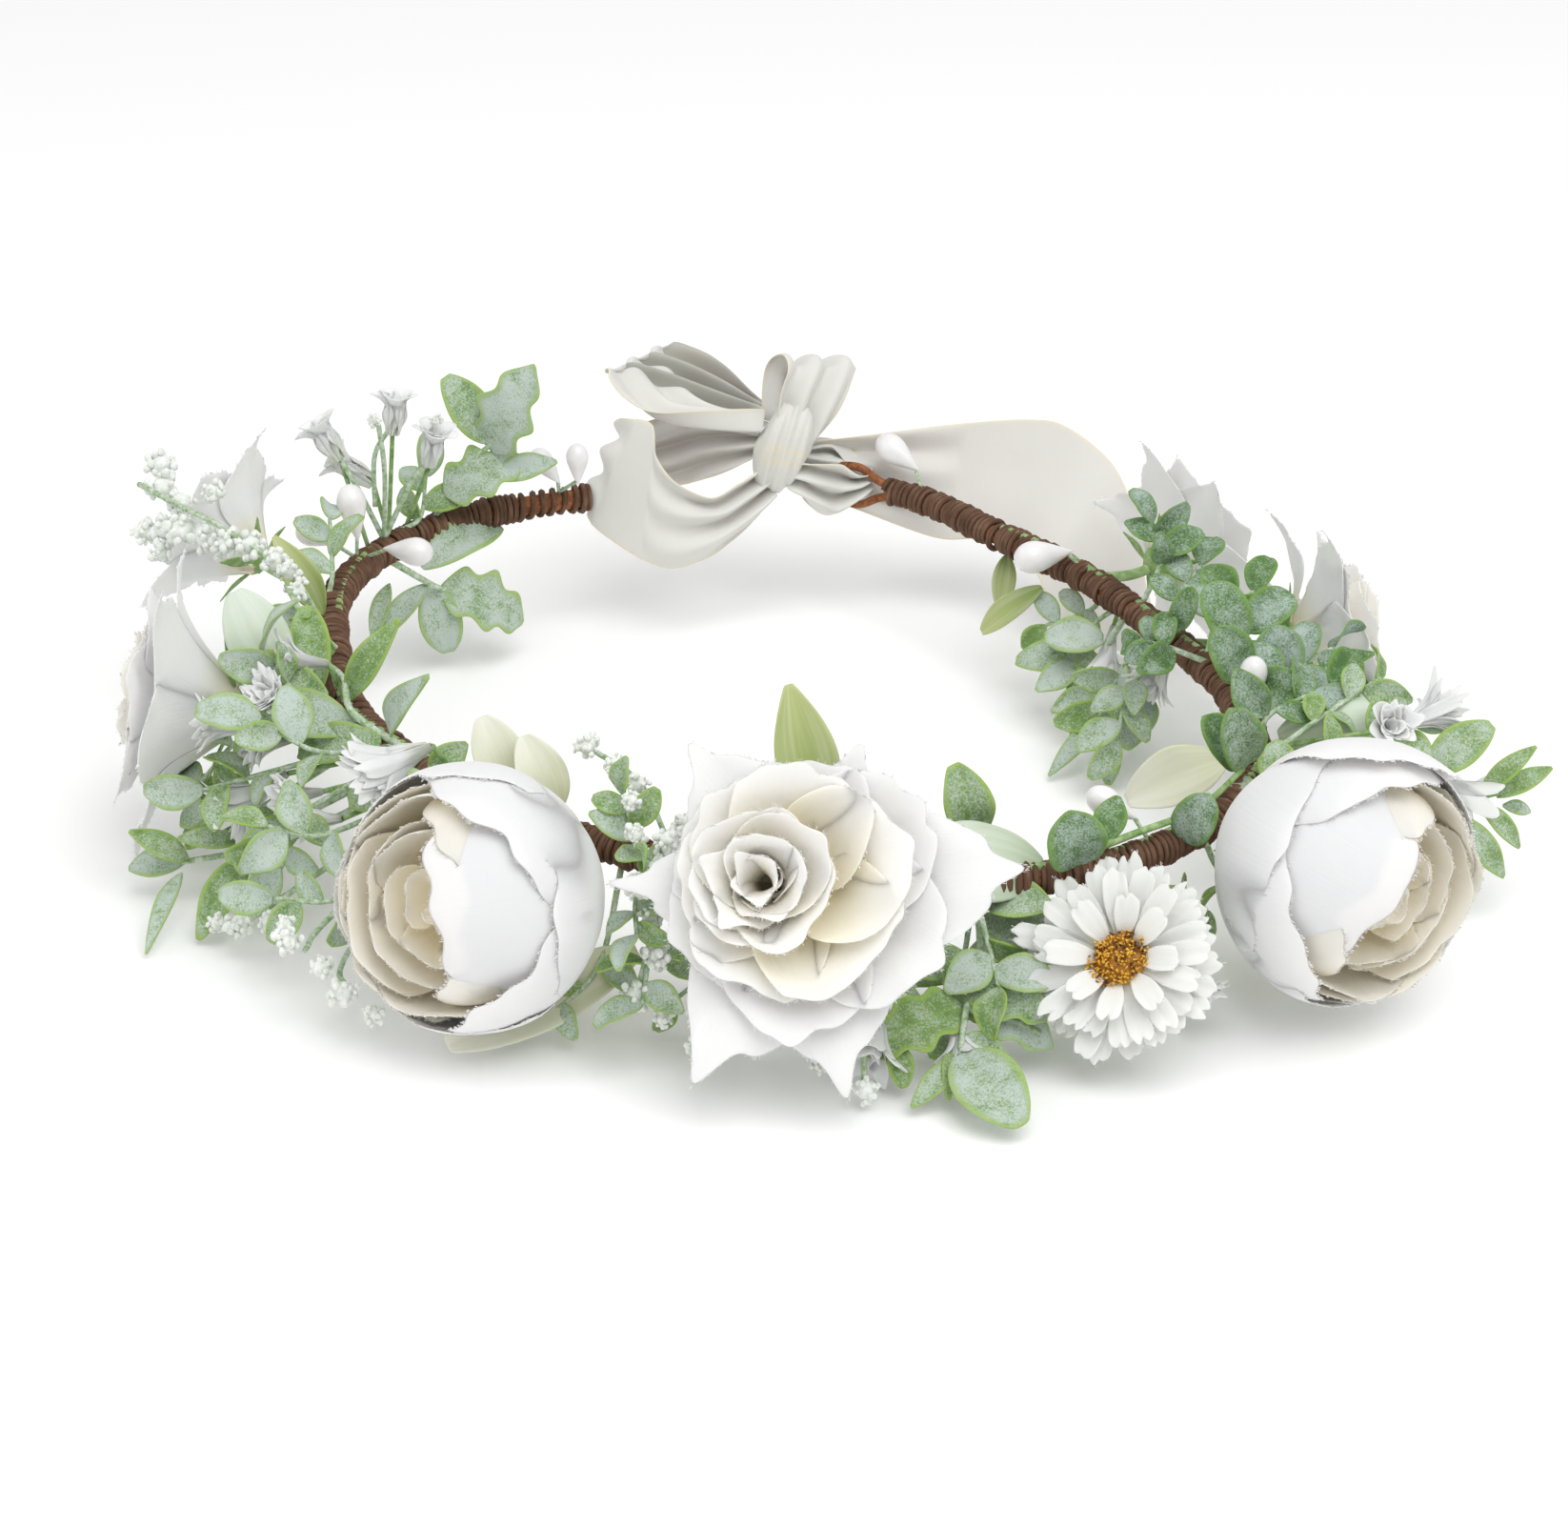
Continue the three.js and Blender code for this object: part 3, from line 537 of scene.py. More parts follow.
def fray(shape, edge, inner, density, length):
    """Short loose threads that stand out along a cut edge."""
    steps = np.linalg.norm(np.diff(edge, axis=0), axis=1)
    total = steps.sum()
    cumulative = np.concatenate([[0], np.cumsum(steps)])
    for _ in range(int(total * density)):
        s = rng.random() * total
        i = min(np.searchsorted(cumulative, s) - 1, len(edge) - 2)
        i = max(i, 0)
        f = (s - cumulative[i]) / max(steps[i], 1e-9)
        start = edge[i] * (1 - f) + edge[i + 1] * f
        out = unit(start - (inner[i] * (1 - f) + inner[i + 1] * f))
        side = unit(edge[i + 1] - edge[i])
        reach = length * (0.3 + rng.random())
        lean = out + side * rng.normal(0, 0.6) + rng.normal(0, 0.25, 3)
        tip = start + unit(lean) * reach
        root = start - out * 0.2
        half = side * THREAD_HALF_WIDTH
        middle = (root + tip) / 2 + rng.normal(0, 0.08, 3)
        sides = ((root, half), (middle, half), (tip, half * 0.3))
        strand = np.array([[point - reach_out, point + reach_out] for point, reach_out in sides])
        shape.grid(strand, along=np.array([[0.96], [0.98], [1.0]]), tone=0.5)


def petal(shape, place, turn, length, width, foot, lean, cup=1.0, point=0.0, roll=0.0, ruffle=0.4,
          shoulder=0.22, bend=1.0, along=13, across=17, threads=1.2, notch=0.0, min_cup=0.0):
    """One petal. place is (centre, axes) of the bloom and turn its place round the bloom in degrees.
    foot is (radius, height) of where it starts, and lean the degrees between the bloom's axis and the
    petal at its foot and at its tip. cup under 1 curls its sides in more than the bloom's roundness,
    and roll turns them back at the tip, so that the tip is left standing as a point."""
    centre, (x, y, z) = place
    s = np.linspace(0, 1, along)[:, None]
    t = np.linspace(-1, 1, across)[None, :]
    phases = random_angle(4)
    outline = 1 - shoulder * np.abs(t) ** 2.4 + point * np.exp(-((t / 0.17) ** 2))
    outline = outline + 0.02 * np.sin(5 * t + phases[0]) + 0.012 * np.sin(13 * t + phases[1])
    outline = outline - notch * np.exp(-(((t - 0.35 * math.sin(phases[2])) / 0.1) ** 2))
    u = s * outline
    table = np.linspace(0, 1.5, 160)
    angle = np.radians(lean[0] + (lean[1] - lean[0]) * np.minimum(table, 1.2) ** bend)
    step = table[1] * length
    radial = foot[0] + np.concatenate([[0], np.cumsum(np.sin(angle[:-1]))]) * step
    rise = foot[1] + np.concatenate([[0], np.cumsum(np.cos(angle[:-1]))]) * step
    r, h, a = (np.interp(u, table, values) for values in (radial, rise, angle))
    share = np.clip(u / 0.62, 0, 1)
    half = width * (0.3 + 0.7 * share * share * (3 - 2 * share)) * (1 - 0.10 * np.clip(u, 0, 1) ** 4)
    rolled = np.clip((np.abs(t) - 0.3) / 0.7, 0, 1) ** 1.5 * np.clip((u - 0.35) / 0.65, 0, 1) ** 2
    lateral = t * half * (1 - 0.35 * np.clip(roll, 0, 1) * rolled)
    curl = np.maximum(np.maximum(np.abs(r), 0.35 * width) * cup, min_cup)
    side = curl * np.sin(lateral / curl)
    lift = curl * (1 - np.cos(lateral / curl))
    lift = lift - roll * half * 0.75 * rolled
    wave = np.sin(3.1 * t + phases[2]) + 0.6 * np.sin(6.3 * t + phases[3]) + 0.4 * np.sin(4 * u + phases[0])
    lift = lift + ruffle * wave * np.clip(u, 0, 1.2) ** 2
    r = r - np.cos(a) * lift
    h = h + np.sin(a) * lift
    w = math.radians(turn)
    e_r, e_t = math.cos(w) * x + math.sin(w) * y, -math.sin(w) * x + math.cos(w) * y
    points = centre + r[..., None] * e_r + side[..., None] * e_t + h[..., None] * z
    shape.grid(points, along=np.clip(u, 0, 1))
    if threads:
        fray(shape, points[-1], points[-2], threads, 0.55)
        if roll < 0.5:
            for column, beside in ((0, 1), (-1, -2)):
                fray(shape, points[along // 2:, column], points[along // 2:, beside], threads * 0.6, 0.4)


def build_petals(name, part, shape, material):
    """The outer or inner petals of a bloom, which is a body of its own."""
    build(f"{name}_{part}", shape, material, name, [f"{name}_{part}_petals"], thickness=PETAL_THICKNESS)


def placed(centre, direction, roll=0.0):
    """A bloom's centre and its axes, the last along direction and the others turned by roll."""
    x, y, z = basis(direction)
    c, s = math.cos(math.radians(roll)), math.sin(math.radians(roll))
    return np.asarray(centre, float), (c * x + s * y, -s * x + c * y, z)


def bloom_stem(name, root, back, direction, cup_radius, body):
    """The green wire stem and the calyx behind a head."""
    stem = Shape()
    start = on_twine(*root)
    inside = back + direction * 1.2
    stem.tube(smooth_curve([start, start * 0.45 + inside * 0.55 - UP * 0.8, inside], 10), 1.0, sides=8)
    cup = [(0.5, 0.1), (0.95, 2.2), (1, 3.4), (0.6, 3.0)]
    stem.lathe([(0.05, 0)] + [(cup_radius * share, height) for share, height in cup],
               back, direction, sides=14, wobble=0.05)
    place = placed(back + direction * 1.8, direction)
    for k in range(5):
        petal(stem, place, 72 * k + rng.normal(0, 5), cup_radius * 1.9, cup_radius * 0.5,
              (cup_radius * 0.75, 0), (65, 80),
              cup=2.0, point=0.55, shoulder=0.7, ruffle=0.15, along=6, across=7, threads=0)
    build(f"{name}_calyx", stem, GREEN_STEM, body, [f"{name}_stem"], thickness=0.35)


def rose(name, centre, direction, radius, root, layers, roll=0.0):
    """A rose: layers are the rows of its outer petals, and the bud inside is ROSE_HEART."""
    centre, direction = np.asarray(centre, float), unit(direction)
    place = placed(centre, direction, roll)
    parts = (("outer", layers, PETAL, "white_petal"), ("inner", ROSE_HEART, PETAL_HEART, "cream_petal"))
    for part, rows, material, slot in parts:
        shape = Shape()
        for row in rows:
            shared = dict(row)
            count, first = shared.pop("count"), shared.pop("first")
            for k in range(count):
                values = dict(shared)
                values["length"] = row["length"] * radius * (1 + rng.normal(0, 0.035))
                values["width"] = row["width"] * radius * (1 + rng.normal(0, 0.03))
                values["foot"] = (row["foot"][0] * radius, row["foot"][1] * radius)
                values["ruffle"] = row.get("ruffle", 0.02) * radius
                values["lean"] = tuple(v + rng.normal(0, 3.0) for v in row["lean"])
                petal(shape, place, first + 360 * k / count + rng.normal(0, 4), **values)
        build_petals(name, part, shape, material)
    back = centre - direction * (0.36 * radius + 3.2)
    bloom_stem(name, root, back, direction, radius * 0.2, name)


# Rows of a rose, outermost first. Lengths are shares of its radius.
OPEN_ROSE = [
    {"count": 6, "first": 12, "length": 1.12, "width": 0.42, "foot": (0.10, -0.42), "lean": (50, 94),
     "bend": 2.0, "cup": 1.5, "point": 0.26, "roll": 0.75, "shoulder": 0.42},
    {"count": 5, "first": 46, "length": 0.98, "width": 0.5, "foot": (0.10, -0.40), "lean": (38, 84),
     "bend": 2.0, "cup": 1.2, "point": 0.14, "roll": 0.5, "shoulder": 0.28},
]
ROSE_HEART = [
    {"count": 4, "first": 5, "length": 0.86, "width": 0.52, "foot": (0.12, -0.36), "lean": (22, 68),
     "bend": 2.2, "cup": 1.0, "roll": 0.3, "point": 0.05, "ruffle": 0.02},
    {"count": 4, "first": 45, "length": 0.80, "width": 0.42, "foot": (0.10, -0.32), "lean": (12, 52),
     "bend": 2.2, "cup": 0.95, "roll": 0.16, "ruffle": 0.03, "notch": 0.05},
    {"count": 3, "first": 70, "length": 0.74, "width": 0.32, "foot": (0.07, -0.28), "lean": (6, 34),
     "bend": 2.2, "cup": 0.9, "roll": 0.12, "ruffle": 0.03, "notch": 0.07},
    {"count": 3, "first": 10, "length": 0.68, "width": 0.22, "foot": (0.03, -0.24), "lean": (2, 16),
     "bend": 2.0, "cup": 0.9, "roll": 0.05, "ruffle": 0.03, "notch": 0.09},
]
CLOSED_ROSE = [
    {"count": 5, "first": 12, "length": 1.16, "width": 0.5, "foot": (0.12, -0.5), "lean": (38, 86),
     "bend": 2.4, "cup": 1.3, "point": 0.2, "roll": 0.6, "shoulder": 0.35},
    {"count": 5, "first": 46, "length": 1.05, "width": 0.52, "foot": (0.10, -0.46), "lean": (28, 74),
     "bend": 2.4, "cup": 1.1, "point": 0.12, "roll": 0.4, "shoulder": 0.28},
]


# The front rose, petal by petal. Each is its turn round the bloom (from its top, towards its left),
# its reach, width, degrees of lean at foot and tip, how far its sides roll back and its pointed tip.
FRONT_STAR = [
    (42, 28, 12, 50, 92, 0.7, 0.2), (-16, 23, 12, 46, 80, 0.8, 0.24), (-80, 33, 13, 50, 94, 0.7, 0.2),
    (-165, 29, 12, 52, 96, 0.7, 0.2), (153, 32, 12, 50, 96, 0.8, 0.2), (90, 27, 9, 54, 96, 0.7, 0.28),
    (-48, 27, 15, 42, 78, 0.5, 0.05), (-115, 27, 16, 42, 82, 0.55, 0.1), (178, 27, 15, 42, 80, 0.45, 0.05),
    (112, 25, 15, 44, 80, 0.45, 0.05), (12, 25, 16, 40, 74, 0.4, 0.0), (62, 25, 14, 44, 80, 0.4, 0.0),
]
FRONT_MIDDLE = [
    (-72, 29, 17, 26, 74, 0.5, 0.06), (-12, 28, 15, 24, 66, 0.4, 0.0), (-135, 27, 16, 30, 70, 0.4, 0.0),
    (45, 25, 14, 28, 66, 0.35, 0.04), (105, 24, 14, 30, 66, 0.35, 0.0), (160, 25, 14, 32, 70, 0.35, 0.0),
]
FRONT_HEART = [
    (-55, 25, 14, 14, 46, 0.4, 0.08), (-120, 24, 14, 18, 46, 0.35, 0.0), (25, 23, 14, 16, 44, 0.4, 0.0),
    (95, 22, 13, 18, 42, 0.45, 0.1), (165, 22, 13, 18, 46, 0.4, 0.0),
    (-85, 24, 11, 6, 34, 0.4, 0.06), (-10, 24, 11, 5, 30, 0.4, 0.0), (75, 22, 10, 10, 28, 0.75, 0.2),
    (150, 22, 9, 12, 30, 0.65, 0.2), (-150, 22, 10, 8, 28, 0.5, 0.12),
    (-50, 22, 9, -4, 22, 0.35, 0.05), (45, 20, 9, -2, 20, 0.65, 0.2), (-165, 20, 9, -2, 24, 0.6, 0.2),
    (110, 19, 8, 0, 16, 0.5, 0.15),
]


def petals_by_hand(shape, place, petals, foot, offset=(0.0, 0.0)):
    """Adds petals listed one by one, round a middle that lies offset from the bloom's own."""
    centre, (x, y, z) = place
    middle = centre + offset[0] * x + offset[1] * y
    for turn, reach, width, low, high, roll, point in petals:
        petal(shape, (middle, (x, y, z)), turn, reach, width, foot, (low, high), cup=1.15, point=point,
              roll=roll, bend=2.0, ruffle=0.5, shoulder=0.3 if point else 0.16, threads=1.6, notch=0.03,
              along=16, across=21)


FRONT_CENTRE, FRONT_FACING = at(-85, 102, 36), facing(-97, 33)
front_place = placed(FRONT_CENTRE, FRONT_FACING)
star, heart = Shape(), Shape()
petals_by_hand(star, front_place, FRONT_STAR, (2.6, -10))
petals_by_hand(heart, front_place, FRONT_MIDDLE, (2.2, -9.5), (1.5, 3.0))
petals_by_hand(heart, front_place, FRONT_HEART, (1.6, -8), (1.5, 7.0))
build_petals("rose_front", "outer", star, PETAL)
build_petals("rose_front", "inner", heart, PETAL_HEART)
bloom_stem("rose_front", (-85, 0), FRONT_CENTRE - FRONT_FACING * 13.6, FRONT_FACING, 5.8, "rose_front")
rose("rose_left", at(-171, 108, 29.9), facing(178, 8), 24, (-171, 0), CLOSED_ROSE, roll=40)
rose("rose_back_left", at(158, 113, 37), facing(150, 24), 18, (157, 12), CLOSED_ROSE)
rose("rose_back_right", at(33, 102, 29), facing(38, 12), 19, (33, 0), OPEN_ROSE, roll=20)
rose("rose_right", at(10, 112, 28), facing(12, 12), 19.5, (9, 0), OPEN_ROSE, roll=60)


def ranunculus(name, centre, axis, radius, root, stem_direction, side, standing=None):
    """A globe of broad petals round an opening that lies off to one side of it. The one from side
    sweeps right across the globe."""
    centre, axis = np.asarray(centre, float), unit(axis)
    place = placed(centre, axis)
    # turn, radius share, width share, degrees from the back to the rim
    outer = [
        (side + 48, 0.99, 0.95, 128), (side - 52, 0.99, 0.9, 126), (side + 150, 0.97, 1.0, 112),
        (side - 150, 0.98, 1.0, 110), (side + 100, 1.0, 0.9, 108), (side - 105, 1.0, 0.9, 112),
        (side, 0.94, 1.15, 171), (side + 8, 1.0, 1.0, 112), (side + 180, 1.0, 0.9, 108),
    ]
    shape = Shape()
    for turn, share, width, reach in outer:
        r = radius * share
        petal(shape, place, turn + rng.normal(0, 3), math.radians(reach) * r, width * r, (0.5, -r * 0.99),
              (90, 90 - reach), cup=1.0, ruffle=0.3, shoulder=0.1, min_cup=0.75 * r, threads=2.2, along=18,
              across=23, notch=0.02)
    if standing is not None:
        petal(shape, place, standing, 2.05 * radius, 0.8 * radius, (0.5, -radius * 1.0), (84, -18), cup=1.15,
              ruffle=0.4, shoulder=0.16, roll=0.15, threads=2.0, min_cup=0.8 * radius, along=18, across=23)
    build_petals(name, "outer", shape, PETAL_GLOBE)
    shape = Shape()
    opening = side + 180
    # turn, share of the radius at the rim, height of the rim
    inner = [
        (opening + 30, 0.91, 0.36), (opening - 40, 0.89, 0.38), (opening + 75, 0.86, 0.42),
        (opening - 80, 0.85, 0.42),
        (opening + 5, 0.80, 0.44), (opening - 30, 0.64, 0.43), (opening + 45, 0.62, 0.45),
        (opening - 65, 0.60, 0.46),
        (opening + 10, 0.46, 0.42), (opening + 80, 0.44, 0.46), (opening - 20, 0.30, 0.42),
        (side, 0.24, 0.5),
        (opening + 60, 0.16, 0.44),
    ]
    for turn, rim, high in inner:
        petal(shape, place, turn + rng.normal(0, 3), 1.66 * rim * radius, 0.95 * rim * radius,
              (0.3, (high - 1.02 * rim) * radius), (88, -8), cup=1.05, ruffle=0.5, shoulder=0.12, roll=0.12,
              min_cup=0.5 * rim * radius, threads=2.2, notch=0.03, along=16, across=21)
    for turn, share, reach in ((side, 0.86, 150), (side + 40, 0.80, 138), (side - 44, 0.78, 138)):
        r = radius * share
        foot = (0.3, 0.9 * radius - 1.95 * r)
        petal(shape, place, turn, math.radians(reach) * r, r, foot, (88, 90 - reach), cup=1.0, ruffle=0.25,
              shoulder=0.1, min_cup=0.7 * r, threads=2.2, along=16, across=21)
    build_petals(name, "inner", shape, PETAL_BOWL)
    back = centre - stem_direction * (0.86 * radius + 3.4)
    bloom_stem(name, root, back, stem_direction, 5, name)


# The camera looks from the front and above, so the openings turn down and to each side of it.
ranunculus("ranunculus_left", at(-118, 103, 29.5), (-0.45, -0.85, 0.27), 22.5, (-118, 0),
           facing(-118, 10), -76)
ranunculus("ranunculus_right", at(-38.5, 130, 29), (0.45, -0.885, 0.114), 22.5, (-36, 0),
           facing(-58, 10), 52, -20)

# ---------------------------------------------------------------- daisy
DAISY_CENTRE, DAISY_FACING = at(-57.5, 115, 21), facing(-108, 36)
daisy = Shape()
daisy_place = placed(DAISY_CENTRE, DAISY_FACING)
# Rows of rays: how many, their length, degrees of lean at foot and tip, height of the foot, first turn.
RAYS = ((22, 15.0, (80, 87), -1.8, 0), (20, 14.0, (68, 78), -1.1, 9), (8, 10.5, (48, 66), -0.6, 4))
for count, length, lean, height, first in RAYS:
    for k in range(count):
        petal(daisy, daisy_place, first + 360 * k / count + rng.normal(0, 3),
              length * (1 + rng.normal(0, 0.05)), 2.3, (2.6, height),
              tuple(v + rng.normal(0, 5) for v in lean), cup=0.9, ruffle=0.25, shoulder=0.12,
              notch=0.16, threads=0.8, along=9, across=9, min_cup=3.2)
build("daisy_rays", daisy, DAISY_PETAL, "daisy", ["daisy_petals"], thickness=0.25)

disc = Shape()
dome = [(4.6, -0.6), (4.4, 0.5), (3.7, 1.3), (2.2, 1.8), (0.05, 2.0)]
disc.lathe(dome, DAISY_CENTRE, DAISY_FACING, tone=0.27)
dx, dy, dz = basis(DAISY_FACING)
for _ in range(330):
    spread, turn = 5.2 * math.sqrt(rng.random()), random_angle()
    long_way, short_way = 1.15 * math.cos(turn) * unit(dx - dy), 0.8 * math.sin(turn) * unit(dx + dy)
    foot = DAISY_CENTRE + spread * (long_way + short_way) + (1.9 - 0.045 * spread**2) * dz
    curl = unit(rng.normal(0, 1, 3))
    end = foot + dz * (0.9 + 0.4 * rng.random()) + curl * 0.8
    path = [foot - dz * 0.3, foot + dz * 0.5 + curl * 0.25, end]
    disc.tube(smooth_curve(path, 5), 0.17, sides=5, tone=float(rng.random()))
build("daisy_disc_threads", disc, THREADS, "daisy", ["daisy_disc"], smooth=1)
bloom_stem("daisy", (-57, -12), DAISY_CENTRE - DAISY_FACING * 6.6, DAISY_FACING, 3, "daisy")


# ---------------------------------------------------------------- leaves
def leaf(shape, base, tip, width, kind="pointed", bend=0.12, fold=0.25, twist=0.0):
    """One leaf from base to tip. bend arches it towards its face, fold lifts its two sides."""
    base, tip = np.asarray(base, float), np.asarray(tip, float)
    length = np.linalg.norm(tip - base)
    direction = unit(tip - base)
    side = np.cross(TO_VIEWER, direction)
    side = unit(side) if np.linalg.norm(side) > 0.1 else unit(np.cross(UP, direction))
    normal = np.cross(direction, side)
    c, sn = math.cos(math.radians(twist)), math.sin(math.radians(twist))
    side, normal = c * side + sn * normal, c * normal - sn * side
    n, m = (15, 11) if kind != "lobed" else (25, 11)
    u = np.linspace(0, 1, n)[:, None]
    t = np.linspace(-1, 1, m)[None, :]
    if kind == "round":
        outline = np.sqrt(np.clip(1 - (2 * np.clip(u, 0, 1) - 1) ** 2, 0, 1)) ** 0.85
    elif kind == "lobed":
        lobes = 1 + 0.2 * np.sin(2 * np.pi * (3.0 * u - 0.2))
        outline = np.sin(np.pi * np.clip(u, 0, 1) ** 0.8) ** 0.6 * lobes
    elif kind == "petal":
        outline = np.sin(np.pi * np.clip(u * 0.93 + 0.03, 0, 1) ** 0.95) ** 0.65
    else:
        outline = np.sin(np.pi * np.clip(u * 0.96, 0, 1) ** 0.85) ** 0.9
    outline = np.maximum(outline, 0.05)
    half = width / 2 * outline
    phase = random_angle()
    rise = bend * length * np.sin(np.pi * u) + fold * np.abs(t) ** 1.4 * half
    rise = rise + 0.03 * width * np.sin(7 * u + phase) * t
    rise = rise + 0.02 * width * np.sin(15 * u + phase) * np.abs(t) ** 3
    flat = base + (u * length)[..., None] * direction + (t * half)[..., None] * side
    shape.grid(flat + rise[..., None] * normal)


def leaf_slot(material):
    return "round_leaf" if material is ROUND else "frosted_leaf"


def spray(name, stems, leaves, material, nodes, stem_material=POWDER_STEM, thickness=0.45, body="ring"):
    """Stems as point lists, and leaves as (base, tip, width, kind) with optional more settings."""
    if stems:
        bars = Shape()
        for points in stems:
            path = smooth_curve([spot(p) for p in points], 5 * len(points))
            bars.tube(path, np.linspace(0.75, 0.75 * 0.7, len(path)), sides=7)
        build(f"{name}_stem", bars, stem_material, body, smooth=1)
    blades = Shape()
    for base, tip, width, kind, *more in leaves:
        leaf(blades, spot(base), spot(tip), width, kind, **(more[0] if more else {}))
    build(f"{name}_leaves", blades, material, body, nodes, thickness=thickness)


FROSTED_SPRAYS = {
    "front": (
        [[(-66, -40), (-66, 95, 17), (-70, 105, 12), (-72, 112, 7)],
         [(-70, 104, 12), (-66, 108, 10), (-64, 111, 8)]],
        [((-72, 112, 8), (-70, 130, 3.4), 12, "petal", {"bend": 0.05}),
         ((-70, 103, 12), (-80, 105, 6), 10, "lobed"),
         ((-67, 96, 16), (-75, 92, 14), 7, "pointed"), ((-65, 92, 20), (-56, 96, 16), 11, "petal"),
         ((-69, 101, 14), (-63, 112, 11), 8, "lobed"), ((-69, 101, 12), (-63, 112, 5), 8, "lobed"),
         ((-72, 111, 6), (-77, 117, 2), 4.5, "pointed"), ((-72, 108, 7), (-74, 118, 3), 3, "pointed"),
         ((-71, 108, 9), (-68, 114, 7), 4, "pointed"), ((-64, 90, 24), (-60, 101, 26), 8, "petal"),
         ((-62, 82, 31), (-64.5, 79, 45), 9, "petal")]),
    "lower_left": (
        [[(-147, -50), (-152, 92, 17), (-156, 102, 12), (-160, 112, 8)]],
        [((-152, 93, 20), (-152, 106, 12), 8, "petal"), ((-155, 102, 12), (-151, 115, 1.4), 7, "pointed"),
         ((-159, 111, 9), (-161, 121, 15), 5, "pointed"), ((-160, 111, 8), (-163, 121, 5), 6, "pointed"),
         ((-158, 113, 8), (-151, 125, 1.2), 3.5, "pointed"),
         ((-157, 102, 13), (-159, 113, 14), 4.5, "pointed")]),
    "left": (
        [[(-148, 80), (-154, 81, 37), (-160, 80, 40), (-166, 82, 40)]],
        [((-154, 81, 34), (-163, 96, 34), 10, "petal"), ((-158, 84, 38), (-169, 97, 39), 8, "petal"),
         ((-159, 80, 36), (-157, 70, 52), 6, "pointed"), ((-147, 78, 36), (-136, 79, 54), 6, "pointed"),
         ((-150, 78, 33), (-158, 90, 28), 8, "petal"), ((-140, 76, 30), (-146, 88, 26), 9, "petal"),
         ((-166, 84, 38), (-176, 92, 36), 9, "petal"), ((-165, 84, 34), (-174, 84, 46), 8, "petal")]),
    "back_left_upper": (
        [[(134, 90), (130, 93, 40), (127, 90, 45)]],
        [((133, 94, 35), (123, 87, 41), 11, "lobed"), ((127, 91, 45), (130, 99, 58), 9, "petal"),
         ((127, 90, 43), (122, 85, 62), 12, "lobed"), ((128, 88, 38), (119, 85, 40), 6, "pointed")]),
    "back_left_lower": (
        [[(143, -120), (139, 88, 20), (136, 88, 17)]],
        [((139, 91, 23), (125, 93, 25), 9, "petal"), ((139, 89, 20), (146, 93, 10), 5, "pointed"),
         ((137, 89, 18), (126, 83, 7), 12, "lobed"), ((138, 90, 19), (137, 87, 4), 9, "petal"),
         ((144, 92, 22), (148, 92, 12), 4, "pointed")]),
    "inside_right": (
        [[(22, -120), (25, 74, 15), (19, 71, 10), (13, 69, 4)]],
        [((27, 74, 15), (37, 64, 12), 7, "petal"), ((25, 75, 20), (30, 65, 20), 8, "petal"),
         ((16, 69, 8), (9, 57, 1.4), 4, "pointed"), ((12, 70, 4), (5, 68, 1), 4.5, "petal"),
         ((22, 72, 12), (11, 70, 3), 6, "pointed"), ((14, 78, 14), (6, 71, 8), 8, "petal"),
         ((22, 72, 11), (24, 63, 7), 5, "pointed"), ((25, 76, 15), (12, 77, 8), 6, "pointed")]),
}
for name, (stems, leaves) in FROSTED_SPRAYS.items():
    spray(f"{name}_spray", stems, leaves, FROSTED, [f"leaf_spray_{name}"])
spray("right_spray",
      [[(-22, -20), (-20, 111, 24), (-18.5, 123, 24), (-17.5, 134, 22), (-16.5, 140, 23)]],
      [((-17, 137, 23), (-15, 146, 31.5), 4, "pointed"), ((-16.5, 140, 22), (-13.8, 149, 26), 4, "pointed"),
       ((-20, 131, 22), (-18, 143, 8), 6, "pointed"), ((-17.5, 137, 22), (-17, 145, 13), 4, "pointed"),
       ((-19, 128, 28), (-16, 138, 36), 8, "petal"), ((-16, 141, 20), (-15, 146, 18), 3, "pointed")],
      FROSTED, ["leaf_spray_right"], stem_material=GREEN_STEM)
spray("round_right_sprig",
      [[(-9, 80), (-6, 93, 35), (-2, 91, 37)], [(-4, 92, 35), (-2, 103, 38)]],
      [((-11, 91, 35), (-12, 86, 46), 9, "round"), ((-5, 90, 37), (0, 85, 47), 9, "round"),
       ((-2, 91, 38), (3, 101, 42), 8, "round"), ((6, 80, 33), (6, 83, 42), 5, "round"),
       ((-6, 97, 32), (-5, 98, 42), 10, "round"), ((-2, 105, 30), (-2, 116, 34), 4, "pointed"),
       ((-14, 95, 33), (-16, 103, 40), 9, "round")],
      ROUND, ["round_leaf_sprig_right"], stem_material=GREEN_STEM, thickness=0.6)
spray("round_front_right_sprig",
      [[(-58, 80), (-49, 99, 33), (-40, 101, 33), (-30, 100, 33)]],
      [((-29, 100, 33), (-32, 98, 46), 9, "round"), ((-28, 98, 32), (-32, 93, 43), 8, "round"),
       ((-56, 99, 31), (-58, 100, 43), 11, "round"), ((-43, 102, 29), (-42, 106, 39), 8, "round"),
       ((-52, 97, 32), (-48, 94, 38), 6, "pointed")],
      ROUND, ["round_leaf_sprig_front_right"], stem_material=GREEN_STEM, thickness=0.6)


